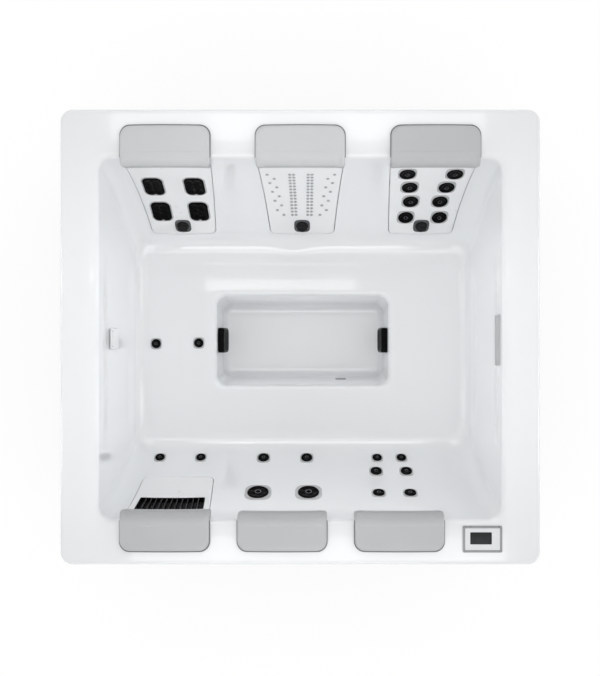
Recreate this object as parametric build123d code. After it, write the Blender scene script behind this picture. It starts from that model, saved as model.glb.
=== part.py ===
from build123d import *
from dataclasses import dataclass
import math
import os

# Acrylic hot tub, six seats. Millimetres, +Z up, origin at the bottom centre.
# +Y is the back wall with the three jet packs, -Y the front with the controls.

# Overall size, from the pillows, jets and keypad seen in the photograph
TUB_WIDTH = 2240.0
TUB_LENGTH = 2125.0
TUB_HEIGHT = 914.0
RIM_CORNER = 60.0
RIM_EDGE_ROUND = 14.0
LIP_DROP = 45.0
LIP_THICK = 7.0
SHELL_THICK = 7.0
OVERLAP = 3.0
CUT_EXTRA = 20.0
RIM_OVERHANG = 22.0
PANEL_UNDER_LIP = 3.0
SIDE_RIM = 176.0
BACK_RIM = 229.5
FRONT_RIM = 210.5

# Heights of the seats and of the footwell's floor over the ground
SEAT_HIGH = 304.0
WELL_FLOOR_HIGH = 69.0
SEAT_DEPTH = TUB_HEIGHT - SEAT_HIGH
WELL_DEPTH = TUB_HEIGHT - WELL_FLOOR_HIGH

# What moves or grows with the tub's width, its length and its walls
WIDTH_SHARE = TUB_WIDTH / 2240.0
LENGTH_SHARE = TUB_LENGTH / 2125.0
WALL_SHARE = SEAT_DEPTH / 610.0

# Basin walls, each read from its outline and from how its jets look foreshortened
SIDE_LINE = TUB_WIDTH / 2 - SIDE_RIM
SIDE_LEAN_TOP = 3.0
SIDE_LEAN_LOW = 6.0
SIDE_COVE = 50.0
BACK_LINE = TUB_LENGTH / 2 - BACK_RIM
BACK_LEAN_TOP = 15.0
BACK_LEAN_LOW = 41.0
FRONT_LINE = TUB_LENGTH / 2 - FRONT_RIM
FRONT_LEAN_TOP = 9.0
FRONT_LEAN_LOW = 36.0
WALL_ROLL = 22.0
WALL_COVE = 74.0
BASIN_CORNER_TOP = 60.0
BASIN_CORNER_LOW = 110.0
BASIN_CORNER_SEAT = 80.0

# Footwell
WELL_SIDE_LINE = 470.0 * WIDTH_SHARE
WELL_BACK_LINE = 226.0 * LENGTH_SHARE
WELL_FRONT_LINE = 258.0 * LENGTH_SHARE
WELL_SIDE_LEAN = 5.0
WELL_END_LEAN = 12.0
WELL_LEAN_GROWTH = 0.2
WELL_ROLL = 22.0
WELL_COVE = 46.0
WELL_CORNER = 52.0
WELL_CORNER_FLOOR = 30.0

# Jet packs in the back wall
PACK_SPACING = 632.0 * WIDTH_SHARE
PACK_DEPTH_MID = 300.0 * WALL_SHARE
PACK_PULL_ANGLE = 28.0
PACK_TOP = 286.0 * WALL_SHARE
PACK_LOW = -282.0 * WALL_SHARE
PACK_HALF_TOP = 206.0 * WALL_SHARE
PACK_HALF_LOW = 168.0 * WALL_SHARE
PACK_CORNER = 24.0 * WALL_SHARE
PACK_BOW = 7.0 * WALL_SHARE
PACK_PROUD = 2.5
PACK_BACK = 45.0
PACK_SKIN = 5.0
POCKET_GAP = 3.0
POCKET_WALL = 6.0
PORT_RADIUS = 18.0
PORT_LENGTH = 22.0
PORT_GAP = 1.5
PORT_UP = 0.0

# Large square jets of the left pack
SQUARE_WIDTH = 106.0 * WALL_SHARE
SQUARE_HEIGHT = 140.0 * WALL_SHARE
SQUARE_ROUND = 30.0 * WALL_SHARE
SQUARE_RIM = 5.0
SQUARE_PROUD = 9.0
SQUARE_RIM_PROUD = 4.0
SQUARE_RIDGE_WIDTH = 8.0
SQUARE_RIDGE_HIGH = 2.5
SQUARE_STEM = 32.0 * WALL_SHARE
SQUARE_STEM_LENGTH = 22.0
SQUARE_UPPER_X = 102.0 * WALL_SHARE
SQUARE_UPPER_U = 68.0 * WALL_SHARE
SQUARE_LOWER_X = 97.0 * WALL_SHARE
SQUARE_LOWER_U = -125.0 * WALL_SHARE

# Spray holes of the middle pack
SPRAY_RADIUS = 3.5 * WALL_SHARE
SPRAY_ROWS = 14
SPRAY_TOP = 164.0 * WALL_SHARE
SPRAY_LOW = -152.0 * WALL_SHARE
SPRAY_INNER_TOP = 45.0 * WALL_SHARE
SPRAY_INNER_LOW = 40.0 * WALL_SHARE
SPRAY_PAIR = 9.5 * WALL_SHARE
SPRAY_OUTER_COUNT = 10
SPRAY_OUTER_TOP = 150.0 * WALL_SHARE
SPRAY_OUTER_LOW = 108.0 * WALL_SHARE
SPRAY_ZIGZAG = 14.0 * WALL_SHARE

# Small round jets of the right pack, one row of two at each height
ROUND_ROWS = ((115.0, 171.0), (92.0, 61.0), (75.0, -50.0), (88.0, -168.0))
ROUND_RIM = 46.0 * WALL_SHARE
ROUND_FACE = 40.0 * WALL_SHARE
ROUND_PROUD = 7.0
ROUND_RIM_PROUD = 4.0
ROUND_STEM = 30.0 * WALL_SHARE
ROUND_STEM_LENGTH = 24.0
ROUND_NOZZLE = 9.0 * WALL_SHARE
NOZZLE_DEPTH = 12.0

# Diverter knobs, one at the foot of each pack
KNOB_U = -230.0 * WALL_SHARE
KNOB_RADIUS = 43.0 * WALL_SHARE
KNOB_HIGH = 24.0
KNOB_ROUND = 9.0
KNOB_GRIP_WIDTH = 16.0 * WALL_SHARE
KNOB_GRIP_HIGH = 9.0
KNOB_STEM = 14.0 * WALL_SHARE
KNOB_STEM_LENGTH = 22.0
KNOB_SEAT_SINK = 1.5

# Fits
TURN_GAP = 0.5
SEAT_GAP = 0.3
HOLE_GAP = 0.4

# Wall jets: radius of the face, radius of the rim
JET_SMALL = (25.0 * WALL_SHARE, 31.0 * WALL_SHARE)
JET_MEDIUM = (29.5 * WALL_SHARE, 36.0 * WALL_SHARE)
JET_LARGE = (53.0 * WALL_SHARE, 67.0 * WALL_SHARE)
JET_RIM_HIGH = 4.0
JET_SINK = 1.5
JET_BOSS = 5.0
JET_NUT_HIGH = 12.0
JET_NUT_WIDER = 9.0
JET_TAIL = 40.0
JET_TAIL_SHARE = 0.6
JET_BARREL_WIDER = 4.0
JET_BORE_DEPTH = 26.0
JET_FACE_PROUD = 7.0
JET_FACE_ROUND = 3.0
JET_FACE_LONG = 20.0
JET_NOZZLE_SHARE = 0.36
JET_BARB_RADIUS = 9.0
JET_BARB_LONG = 30.0
# Position along the wall and depth below the rim at the tub's own size, size
FRONT_JETS = (
    (-762.0, 528.0, JET_SMALL),
    (-543.0, 528.0, JET_SMALL),
    (-207.0, 526.0, JET_MEDIUM),
    (24.0, 526.0, JET_MEDIUM),
    (-218.0, 278.0, JET_LARGE),
    (36.0, 278.0, JET_LARGE),
    (401.0, 526.0, JET_SMALL),
    (531.0, 526.0, JET_SMALL),
    (389.0, 438.0, JET_MEDIUM),
    (547.0, 438.0, JET_MEDIUM),
    (389.0, 274.0, JET_MEDIUM),
    (547.0, 274.0, JET_MEDIUM),
)
SEAT_JETS = ((-800.0, -34.0), (-567.0, -30.0))

# Filter bay in the front wall
FILTER_X = -638.0 * WIDTH_SHARE
FILTER_DEPTH_MID = 235.0 * WALL_SHARE
FILTER_PULL_ANGLE = 21.0
FILTER_TOP = 210.0 * WALL_SHARE
FILTER_LOW = -182.0 * WALL_SHARE
FILTER_HALF_TOP = 202.0 * WALL_SHARE
FILTER_HALF_LOW = 180.0 * WALL_SHARE
FILTER_CORNER = 26.0 * WALL_SHARE
FILTER_BOW = -6.0 * WALL_SHARE
FILTER_BACK = 34.0
FILTER_SKIN = 6.0
WINDOW_TOP = 128.0 * WALL_SHARE
WINDOW_LOW = -3.0 * WALL_SHARE
WINDOW_HALF_TOP = 168.0 * WALL_SHARE
WINDOW_HALF_LOW = 161.0 * WALL_SHARE
WINDOW_CORNER = 10.0 * WALL_SHARE
GRILLE_GAP = 0.4
GRILLE_FRAME = 6.0
GRILLE_THICK = 10.0
GRILLE_BARS = 11
GRILLE_BAR_WIDTH = 6.0
CARTRIDGE_RADIUS = 66.0 * WALL_SHARE
CARTRIDGE_LENGTH = 112.0
CARTRIDGE_CAP = 14.0
CARTRIDGE_CORE = 24.0 * WALL_SHARE
CARTRIDGE_U = -30.0 * WALL_SHARE
CARTRIDGE_KNOB = 20.0
CARTRIDGE_KNOB_HIGH = 12.0
PLEAT_COUNT = 36
PLEAT_DEPTH = 5.0
HOUSING_GAP = 6.0
HOUSING_WALL = 5.0
HOUSING_FLANGE = 14.0
HOUSING_LENGTH = 124.0
HOUSING_OUTLET = 22.0
HOUSING_OUTLET_LONG = 26.0

# Pillows
PILLOW_WIDTH = 422.0
PILLOW_BACK_X = (-628.0, 0.0, 630.0)
PILLOW_FRONT_X = (-630.0, -84.0, 461.0)
PILLOW_REACH_BACK = 150.0
PILLOW_REACH_FRONT = 141.0
PILLOW_LEAN_OUT = 46.0
PILLOW_LOW_THICK = 17.0
PILLOW_HIGH = 34.0
PILLOW_EDGE_HIGH = 20.0
PILLOW_EDGE_IN = 34.0
PILLOW_NOSE_HIGH = 14.0
PILLOW_NOSE_IN = 30.0
PILLOW_DROP = 62.0
PILLOW_OUTER_CORNER = 46.0
PILLOW_INNER_CORNER = 20.0
PILLOW_CROWN_RADIUS = 2600.0
PILLOW_EDGE_ROUND = 5.0
PILLOW_WALL_GAP = 0.9
PILLOW_ROLL_GAP = 1.5

# Keypad on the front right of the rim
KEYPAD_X = TUB_WIDTH / 2 - 272.0
KEYPAD_Y = 122.0 - TUB_LENGTH / 2
KEYPAD_WIDTH = 184.0
KEYPAD_LENGTH = 124.0
KEYPAD_HIGH = 5.0
KEYPAD_CORNER = 7.0
KEYPAD_FRAME = 11.0
KEYPAD_FACE_SINK = 1.2
KEYPAD_SHADE_DEPTH = 2.2
SCREEN_WIDTH = 100.0
SCREEN_LENGTH = 56.0
SCREEN_X = -7.0
SCREEN_Y = 4.0
SCREEN_CORNER = 3.0
KEYPAD_TRAY = 22.0
KEYPAD_TRAY_DEPTH = 20.0

# Fittings on the side walls and in the footwell
SPOUT_LENGTH = 240.0
SPOUT_TALL = 34.0
SPOUT_PROUD = 20.0
SPOUT_DEPTH = 62.0
SPOUT_SLOT_LENGTH = 226.0
SPOUT_SLOT_TALL = 6.0
SPOUT_SLOT_DEPTH = 16.0
SPOUT_ROUND = 6.0
SPOUT_STEM = 16.0
SPOUT_Y = -14.0 * LENGTH_SHARE
PLATE_WIDTH = 102.0
PLATE_TALL = 108.0
PLATE_PROUD = 6.0
PLATE_DEPTH = 238.0 * WALL_SHARE
PLATE_SLOT_WIDTH = 78.0
PLATE_SLOT_TALL = 12.0
PLATE_SLOT_DEPTH = 4.0
PLATE_SLOT_U = 40.0
PLATE_CORNER = 8.0
PLATE_STEM = 20.0
PLATE_Y = -8.0 * LENGTH_SHARE
STEM_BEHIND = 30.0
SUCTION_HALF = 70.0
SUCTION_HIGH = 34.0
SUCTION_CORNER = 24.0
SUCTION_ROUND = 10.0
SUCTION_DEPTH = WELL_DEPTH - 125.0
SUCTION_Y = -15.0 * LENGTH_SHARE
SUCTION_SLOTS = 9
SUCTION_SLOT_WIDTH = 5.0
SUCTION_SLOT_DEPTH = 10.0
SUCTION_SLOT_MARGIN = 14.0
SUCTION_SLOT_STEP = 12.0
SUCTION_FLANGE = 58.0
SUCTION_FLANGE_HIGH = 4.0
SUCTION_BARREL = 30.0
SUCTION_BORE = 24.0
SUCTION_NUT = 42.0
SUCTION_NUT_HIGH = 14.0
INLET_X = 214.0 * WIDTH_SHARE
INLET_DEPTH = WELL_DEPTH - 103.0
INLET_WIDTH = 62.0
INLET_TALL = 22.0
INLET_PROUD = 5.0
INLET_STEM = 9.0
INLET_SLOT_TALL = 8.0

# Cabinet
PANEL_X = TUB_WIDTH / 2 - RIM_OVERHANG
PANEL_Y = TUB_LENGTH / 2 - RIM_OVERHANG
PANEL_THICK = 16.0
PANEL_TOP = TUB_HEIGHT - LIP_DROP - PANEL_UNDER_LIP
GROOVE_COUNT = 8
GROOVE_WIDE = 4.0
GROOVE_DEEP = 3.0
PAN_THICK = 6.0
PAN_HIGH = 76.0
PAN_CORNER = 18.0
POST_LEG = 90.0
POST_PROUD = 4.0
POST_ROUND = 10.0
RAIL_WIDE = 40.0
RAIL_TOP_TALL = 60.0
RAIL_LOW_TALL = 30.0
SIDE_POST_Y = 360.0 * LENGTH_SHARE
BACK_POST_X = 360.0 * WIDTH_SHARE
BEAM_X = 260.0 * WIDTH_SHARE
BEAM_WIDE = 60.0
BEAM_LENGTH = 360.0 * LENGTH_SHARE
FRONT_PANEL_GAP = 1.0
HANDLE_WIDE = 110.0
HANDLE_TALL = 26.0
HANDLE_DEPTH = 9.0
HANDLE_BELOW_TOP = 90.0
SCREW_HEAD = 7.0
SCREW_HEAD_HIGH = 2.5
SCREW_SHANK = 2.5
SCREW_LONG = 14.0
SCREW_GAP = 0.2
SCREW_IN = 42.0
SCREW_HEIGHTS = (PAN_HIGH + 64.0, PANEL_TOP / 2 + 47.0, PANEL_TOP - 46.0)

# Equipment bay under the front seats
PUMP_Y = 362.5 - TUB_LENGTH / 2
PUMP_Z = 170.0
PUMP_FACE_X = -230.0 * WIDTH_SHARE
PUMP_WET_RADIUS = 92.0
PUMP_WET_LONG = 96.0
PUMP_WALL = 9.0
PUMP_PIPE = 30.0
PUMP_PORT = 25.0
PUMP_INLET_LONG = 34.0
PUMP_OUTLET_LONG = 30.0
PUMP_FOOT_WIDE = 110.0
PUMP_FOOT_LONG = 60.0
MOTOR_RADIUS = 74.0
MOTOR_LONG = 290.0
MOTOR_FINS = 9
MOTOR_FIN_WIDE = 9.0
MOTOR_FIN_DEEP = 5.0
MOTOR_FOOT_WIDE = 130.0
MOTOR_FOOT_LONG = 170.0
SHAFT_RADIUS = 8.0
SHAFT_LONG = 58.0
SHAFT_GAP = 0.05
IMPELLER_RADIUS = 72.0
IMPELLER_HUB = 20.0
IMPELLER_DISC = 5.0
IMPELLER_BLADE_LONG = 18.0
IMPELLER_BLADE_THICK = 4.0
IMPELLER_BLADES = 6
IMPELLER_OFF = 22.0
CIRC_X = 440.0 * WIDTH_SHARE
CIRC_Y = 502.5 - TUB_LENGTH / 2
CIRC_RADIUS = 48.0
CIRC_LONG = 130.0
CIRC_HEAD_RADIUS = 56.0
CIRC_HEAD_LONG = 40.0
CIRC_FOOT = 80.0
HEATER_X = 330.0 * WIDTH_SHARE
HEATER_Y = 202.5 - TUB_LENGTH / 2
HEATER_Z = 150.0
HEATER_RADIUS = 36.0
HEATER_LONG = 330.0
HEATER_UNION = 46.0
HEATER_UNION_LONG = 30.0
HEATER_FOOT = 40.0
BOX_X = 740.0 * WIDTH_SHARE
BOX_Y = 172.5 - TUB_LENGTH / 2
BOX_WIDE = 320.0
BOX_DEEP = 120.0
BOX_TALL = 250.0
BOX_WALL = 4.0
BOX_LID = 8.0
PIPE_RADIUS = 25.0
PIPE_BEND = 70.0
HEADER_Y = 162.5 - TUB_LENGTH / 2
HEADER_Z = 330.0
HEADER_LOW_X = -800.0 * WIDTH_SHARE
HEADER_HIGH_X = 620.0 * WIDTH_SHARE
HEADER_STUB = 11.0
HEADER_STUB_LONG = 44.0
HEADER_STUBS = (-762.0, -543.0, -218.0, -160.0, 24.0, 90.0, 389.0, 545.0)
SUCTION_RUN_X = 640.0 * WIDTH_SHARE

# Drain and power
DRAIN_X = -900.0 * WIDTH_SHARE
DRAIN_Z = 56.0
DRAIN_SPIGOT = 13.25
DRAIN_SPIGOT_LONG = 12.0
DRAIN_FLANGE = 20.0
DRAIN_FLANGE_HIGH = 4.0
DRAIN_BARREL = 11.0
DRAIN_BODY = 18.0
DRAIN_BODY_LONG = 46.0
DRAIN_BORE = 8.0
DRAIN_STEM = 6.0
DRAIN_STEM_HIGH = 12.0
DRAIN_HANDLE_LONG = 60.0
DRAIN_HANDLE_WIDE = 14.0
DRAIN_HANDLE_THICK = 4.0
DRAIN_HUB = 10.0
POWER_Y = 262.5 - TUB_LENGTH / 2
POWER_Z = 54.0
POWER_RADIUS = 16.5


@dataclass(frozen=True)
class Wall:
    """Section of a wall, leaning in on its way down: roll, long sweep, cove."""

    line: float
    lean_top: float
    lean_low: float
    top: float
    roll: float
    cove: float
    bottom: float

    def sines(self):
        return math.sin(math.radians(self.lean_top)), math.sin(math.radians(self.lean_low))

    def roll_radius(self):
        return self.roll / (1 - self.sines()[0])

    def sweep_radius(self):
        low, high = self.sines()
        return (self.bottom - self.cove - self.top - self.roll) / (high - low)

    def cove_radius(self):
        return self.cove / (1 - self.sines()[1])

    def lean(self, depth):
        """Angle from the vertical, in radians, at a depth below the rim."""
        low, high = self.sines()
        if depth < self.top + self.roll:
            sine = (self.top + self.roll_radius() - depth) / self.roll_radius()
        elif depth < self.bottom - self.cove:
            sine = low + (depth - self.top - self.roll) / self.sweep_radius()
        else:
            sine = high + (depth - self.bottom + self.cove) / self.cove_radius()
        return math.asin(max(-1, min(1, sine)))

    def reach(self, depth):
        """Distance of the wall from the tub's middle at a depth."""
        lean = self.lean(depth)
        top = math.cos(math.radians(self.lean_top))
        low = math.cos(math.radians(self.lean_low))
        if depth < self.top + self.roll:
            inset = self.roll_radius() * (math.cos(lean) - top)
        elif depth < self.bottom - self.cove:
            inset = self.sweep_radius() * (top - math.cos(lean))
        else:
            inset = self.sweep_radius() * (top - low)
            inset += self.cove_radius() * (low - math.cos(lean))
        return self.line - inset

    def outside(self, depth, thick):
        """Distance of the wall's outer face from the middle at a depth."""
        low = self.top
        high = self.bottom
        for _ in range(50):
            middle = (low + high) / 2
            if middle + thick * math.sin(self.lean(middle)) < depth:
                low = middle
            else:
                high = middle
        return self.reach(low) + thick * math.cos(self.lean(low))

    def sweep_centre(self):
        """Centre of the long sweep: distance from the middle, and depth."""
        angle = math.radians(self.lean_top)
        away = self.line - self.sweep_radius() * math.cos(angle)
        return away, self.top + self.roll - self.sweep_radius() * math.sin(angle)


SIDE = Wall(SIDE_LINE, SIDE_LEAN_TOP, SIDE_LEAN_LOW, 0, WALL_ROLL, SIDE_COVE, SEAT_DEPTH)
BACK = Wall(BACK_LINE, BACK_LEAN_TOP, BACK_LEAN_LOW, 0, WALL_ROLL, WALL_COVE, SEAT_DEPTH)
FRONT = Wall(FRONT_LINE, FRONT_LEAN_TOP, FRONT_LEAN_LOW, 0, WALL_ROLL, WALL_COVE, SEAT_DEPTH)


def well_wall(line, lean):
    low = lean + WELL_LEAN_GROWTH
    return Wall(line, lean, low, SEAT_DEPTH, WELL_ROLL, WELL_COVE, WELL_DEPTH)


WELL_SIDE = well_wall(WELL_SIDE_LINE, WELL_SIDE_LEAN)
WELL_BACK = well_wall(WELL_BACK_LINE, WELL_END_LEAN)
WELL_FRONT = well_wall(WELL_FRONT_LINE, WELL_END_LEAN)
TO_BACK = (0, 1)
TO_FRONT = (0, -1)
TO_RIGHT = (1, 0)
TO_LEFT = (-1, 0)


def tilted_plane(out, away, along, depth, lean):
    """Plane on a wall: x along it, y up it, z into the basin."""
    flat = math.cos(lean)
    origin = (
        out[0] * away + abs(out[1]) * along,
        out[1] * away + abs(out[0]) * along,
        TUB_HEIGHT - depth,
    )
    normal = (-out[0] * flat, -out[1] * flat, math.sin(lean))
    return Plane(origin=origin, x_dir=(out[1], -out[0], 0), z_dir=normal)


def wall_plane(wall, out, along, depth):
    return tilted_plane(out, wall.reach(depth), along, depth, wall.lean(depth))


def seat_plane(x, y):
    return Plane(origin=(x, y, TUB_HEIGHT - SEAT_DEPTH), x_dir=(1, 0, 0), z_dir=(0, 0, 1))


def block(low, high):
    """Box between two corners."""
    size = [high[i] - low[i] for i in range(3)]
    middle = [(high[i] + low[i]) / 2 for i in range(3)]
    return Pos(*middle) * Box(*size)


def disc(plane, radius, low, high):
    """Cylinder on a plane, from one height to another."""
    return plane.offset(low) * extrude(Circle(radius), high - low)


def turned(plane, points):
    """Solid turned from (radius, height) points about a plane's normal."""
    outline = make_face(Plane.XZ * Polyline(*points, close=True))
    return plane * revolve(outline, Axis.Z)


def rod(start, end, radius):
    """Round bar between two points."""
    way = Vector(*end) - Vector(*start)
    return Plane(origin=start, z_dir=way) * extrude(Circle(radius), way.length)


def steps(count):
    return [index / count for index in range(count + 1)]


def wall_depths(top, roll, cove, bottom, roll_steps, wall_steps, cove_steps):
    """Depths at which a basin's sections are drawn."""
    depths = [top + roll * (1 - math.cos(s * math.pi / 2)) for s in steps(roll_steps)]
    long = bottom - cove - top - roll
    depths += [top + roll + long * s for s in steps(wall_steps)[1:]]
    depths += [bottom - cove * (1 - math.sin(s * math.pi / 2)) for s in steps(cove_steps)[1:]]
    return depths


def level(z, side, front, back, radius):
    """Rounded rectangle at a height, from its distances to the middle."""
    outline = RectangleRounded(side * 2, front + back, radius)
    return Pos(0, (back - front) / 2, z) * outline


def basin_corner(depth):
    share = min(1, depth / (SEAT_DEPTH - WALL_COVE))
    radius = BASIN_CORNER_TOP + (BASIN_CORNER_LOW - BASIN_CORNER_TOP) * share
    low = max(0, depth - SEAT_DEPTH + WALL_COVE) / WALL_COVE
    return radius + (BASIN_CORNER_SEAT - BASIN_CORNER_LOW) * low


def well_corner(depth):
    low = max(0, depth - WELL_DEPTH + WELL_COVE) / WELL_COVE
    return WELL_CORNER + (WELL_CORNER_FLOOR - WELL_CORNER) * low


def hollow(walls, corner, depths):
    """Inside of a basin as a stack of sections, with some height to cut through."""
    side, front, back = walls
    rings = []
    for depth in depths:
        sizes = side.reach(depth), front.reach(depth), back.reach(depth)
        rings.append(level(TUB_HEIGHT - depth, *sizes, corner(depth)))
    top = depths[0]
    sizes = side.reach(top), front.reach(top), back.reach(top)
    rings.insert(0, level(TUB_HEIGHT - top + CUT_EXTRA, *sizes, corner(top)))
    return loft(rings, ruled=True)


def skin(walls, corner, depths):
    """Outside of a basin as a stack of sections."""
    side, front, back = walls
    rings = []
    for depth in [item + SHELL_THICK for item in depths]:
        sizes = [wall.outside(depth, SHELL_THICK) for wall in (side, front, back)]
        rings.append(level(TUB_HEIGHT - depth, *sizes, corner(depth) + SHELL_THICK))
    top = depths[0] + SHELL_THICK
    sizes = [wall.outside(top, SHELL_THICK) for wall in (side, front, back)]
    above = TUB_HEIGHT - top + OVERLAP
    rings.insert(0, level(above, *sizes, corner(top) + SHELL_THICK))
    return loft(rings, ruled=True)


BASIN = (SIDE, FRONT, BACK)
WELL = (WELL_SIDE, WELL_FRONT, WELL_BACK)
BASIN_DEPTHS = wall_depths(0, WALL_ROLL, WALL_COVE, SEAT_DEPTH, 4, 7, 5)
WELL_DEPTHS = wall_depths(SEAT_DEPTH, WELL_ROLL, WELL_COVE, WELL_DEPTH, 4, 2, 4)


def trapezoid(half_top, half_low, top, low, corner, bow):
    """Panel outline that narrows downward, its lower edge bowed."""
    sides = [
        Line((-half_low, low), (-half_top, top)),
        Line((-half_top, top), (half_top, top)),
        Line((half_top, top), (half_low, low)),
        ThreePointArc((half_low, low), (0, low - bow), (-half_low, low)),
    ]
    face = make_face(Curve() + sides)
    corners = face.vertices().sort_by(Axis.Y)[:2]
    return fillet(corners, corner)


@dataclass(frozen=True)
class Bay:
    """A removable panel's place in a wall, cut straight along its pull."""

    wall: Wall
    out: tuple
    along: float
    depth: float
    pull: float
    top: float
    low: float
    half_top: float
    half_low: float
    corner: float
    bow: float
    back: float

    def plane(self):
        angle = math.radians(self.pull)
        return tilted_plane(self.out, self.wall.reach(self.depth), self.along, self.depth, angle)

    def prism(self, grow, low, high):
        """The bay's straight prism between two heights over its plane."""
        face = trapezoid(
            self.half_top + grow,
            self.half_low + grow,
            self.top + grow,
            self.low - grow,
            self.corner + grow,
            self.bow,
        )
        return self.plane().offset(low) * extrude(face, high - low)

    def basin_side(self, proud):
        """Everything on the basin's side of the wall, less its proud face."""
        away, depth = self.wall.sweep_centre()
        radius = self.wall.sweep_radius() - proud
        centre = Pos(self.along, self.out[1] * away, TUB_HEIGHT - depth)
        return centre * Rot(0, 90, 0) * Cylinder(radius, self.half_top * 4)

    def face_height(self, up, proud):
        """Height of the panel's face over the bay's plane, and its lean."""
        angle = math.radians(self.pull)
        low = self.wall.top + self.wall.roll
        high = self.wall.bottom - self.wall.cove
        start = self.wall.reach(self.depth)
        for _ in range(50):
            middle = (low + high) / 2
            rise = (self.wall.reach(middle) - start) * math.sin(angle)
            rise += (self.depth - middle) * math.cos(angle)
            if rise > up:
                low = middle
            else:
                high = middle
        lean = self.wall.lean(low)
        over = (start - self.wall.reach(low)) * math.cos(angle)
        over += (self.depth - low) * math.sin(angle)
        return over + proud / math.cos(lean - angle), lean

    def face_plane(self, x, up, proud):
        """Plane square to the panel's face at a place on it."""
        over, lean = self.face_height(up, proud)
        place = self.plane()
        across = -x if self.out[1] < 0 else x
        origin = place.origin + place.x_dir * across + place.y_dir * up + place.z_dir * over
        flat = math.cos(lean)
        normal = (0, -self.out[1] * flat, math.sin(lean))
        return Plane(origin=origin, x_dir=place.x_dir, z_dir=normal)


def pack_bay(along):
    return Bay(
        BACK, TO_BACK, along, PACK_DEPTH_MID, PACK_PULL_ANGLE, PACK_TOP, PACK_LOW,
        PACK_HALF_TOP, PACK_HALF_LOW, PACK_CORNER, PACK_BOW, PACK_BACK,
    )


LEFT_BAY = pack_bay(-PACK_SPACING)
MIDDLE_BAY = pack_bay(0)
RIGHT_BAY = pack_bay(PACK_SPACING)
FILTER_BAY = Bay(
    FRONT, TO_FRONT, FILTER_X, FILTER_DEPTH_MID, FILTER_PULL_ANGLE, FILTER_TOP, FILTER_LOW,
    FILTER_HALF_TOP, FILTER_HALF_LOW, FILTER_CORNER, FILTER_BOW, FILTER_BACK,
)
BAYS = (LEFT_BAY, MIDDLE_BAY, RIGHT_BAY, FILTER_BAY)


def jet_places():
    """Plane and size of every wall and seat jet."""
    places = []
    for x, depth, size in FRONT_JETS:
        place = wall_plane(FRONT, TO_FRONT, x * WIDTH_SHARE, depth * WALL_SHARE)
        places.append((place, size))
    for x, y in SEAT_JETS:
        places.append((seat_plane(x * WIDTH_SHARE, y * LENGTH_SHARE), JET_SMALL))
    return places


def jet_sizes(size):
    """Face radius, rim radius, barrel radius and nut radius of a jet."""
    face, rim = size
    barrel = face + JET_BARREL_WIDER
    return face, rim, barrel, barrel + JET_NUT_WIDER


def cartridge_plane():
    place = FILTER_BAY.plane()
    origin = place.origin + place.y_dir * CARTRIDGE_U - place.z_dir * FILTER_BACK
    return Plane(origin=origin, x_dir=place.x_dir, z_dir=place.z_dir)


def suction_planes():
    spots = []
    for out in (TO_LEFT, TO_RIGHT):
        spots.append(wall_plane(WELL_SIDE, out, SUCTION_Y, SUCTION_DEPTH))
    return spots


def spout_plane():
    return wall_plane(SIDE, TO_RIGHT, SPOUT_Y, SPOUT_DEPTH)


def plate_plane():
    return wall_plane(SIDE, TO_LEFT, PLATE_Y, PLATE_DEPTH)


def inlet_plane():
    return wall_plane(WELL_FRONT, TO_FRONT, INLET_X, INLET_DEPTH)


def rim_slab():
    """Rim with its turned-down lip."""
    low = TUB_HEIGHT - LIP_DROP
    outline = RectangleRounded(TUB_WIDTH, TUB_LENGTH, RIM_CORNER)
    slab = Pos(0, 0, low) * extrude(outline, LIP_DROP)
    slab = fillet(slab.faces().sort_by(Axis.Z)[-1].edges(), RIM_EDGE_ROUND)
    inside = RectangleRounded(
        TUB_WIDTH - LIP_THICK * 2, TUB_LENGTH - LIP_THICK * 2, RIM_CORNER - LIP_THICK
    )
    under = LIP_DROP - SHELL_THICK + OVERLAP
    return slab - Pos(0, 0, low - OVERLAP) * extrude(inside, under)


def housing_radius():
    return CARTRIDGE_RADIUS + HOUSING_GAP


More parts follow.
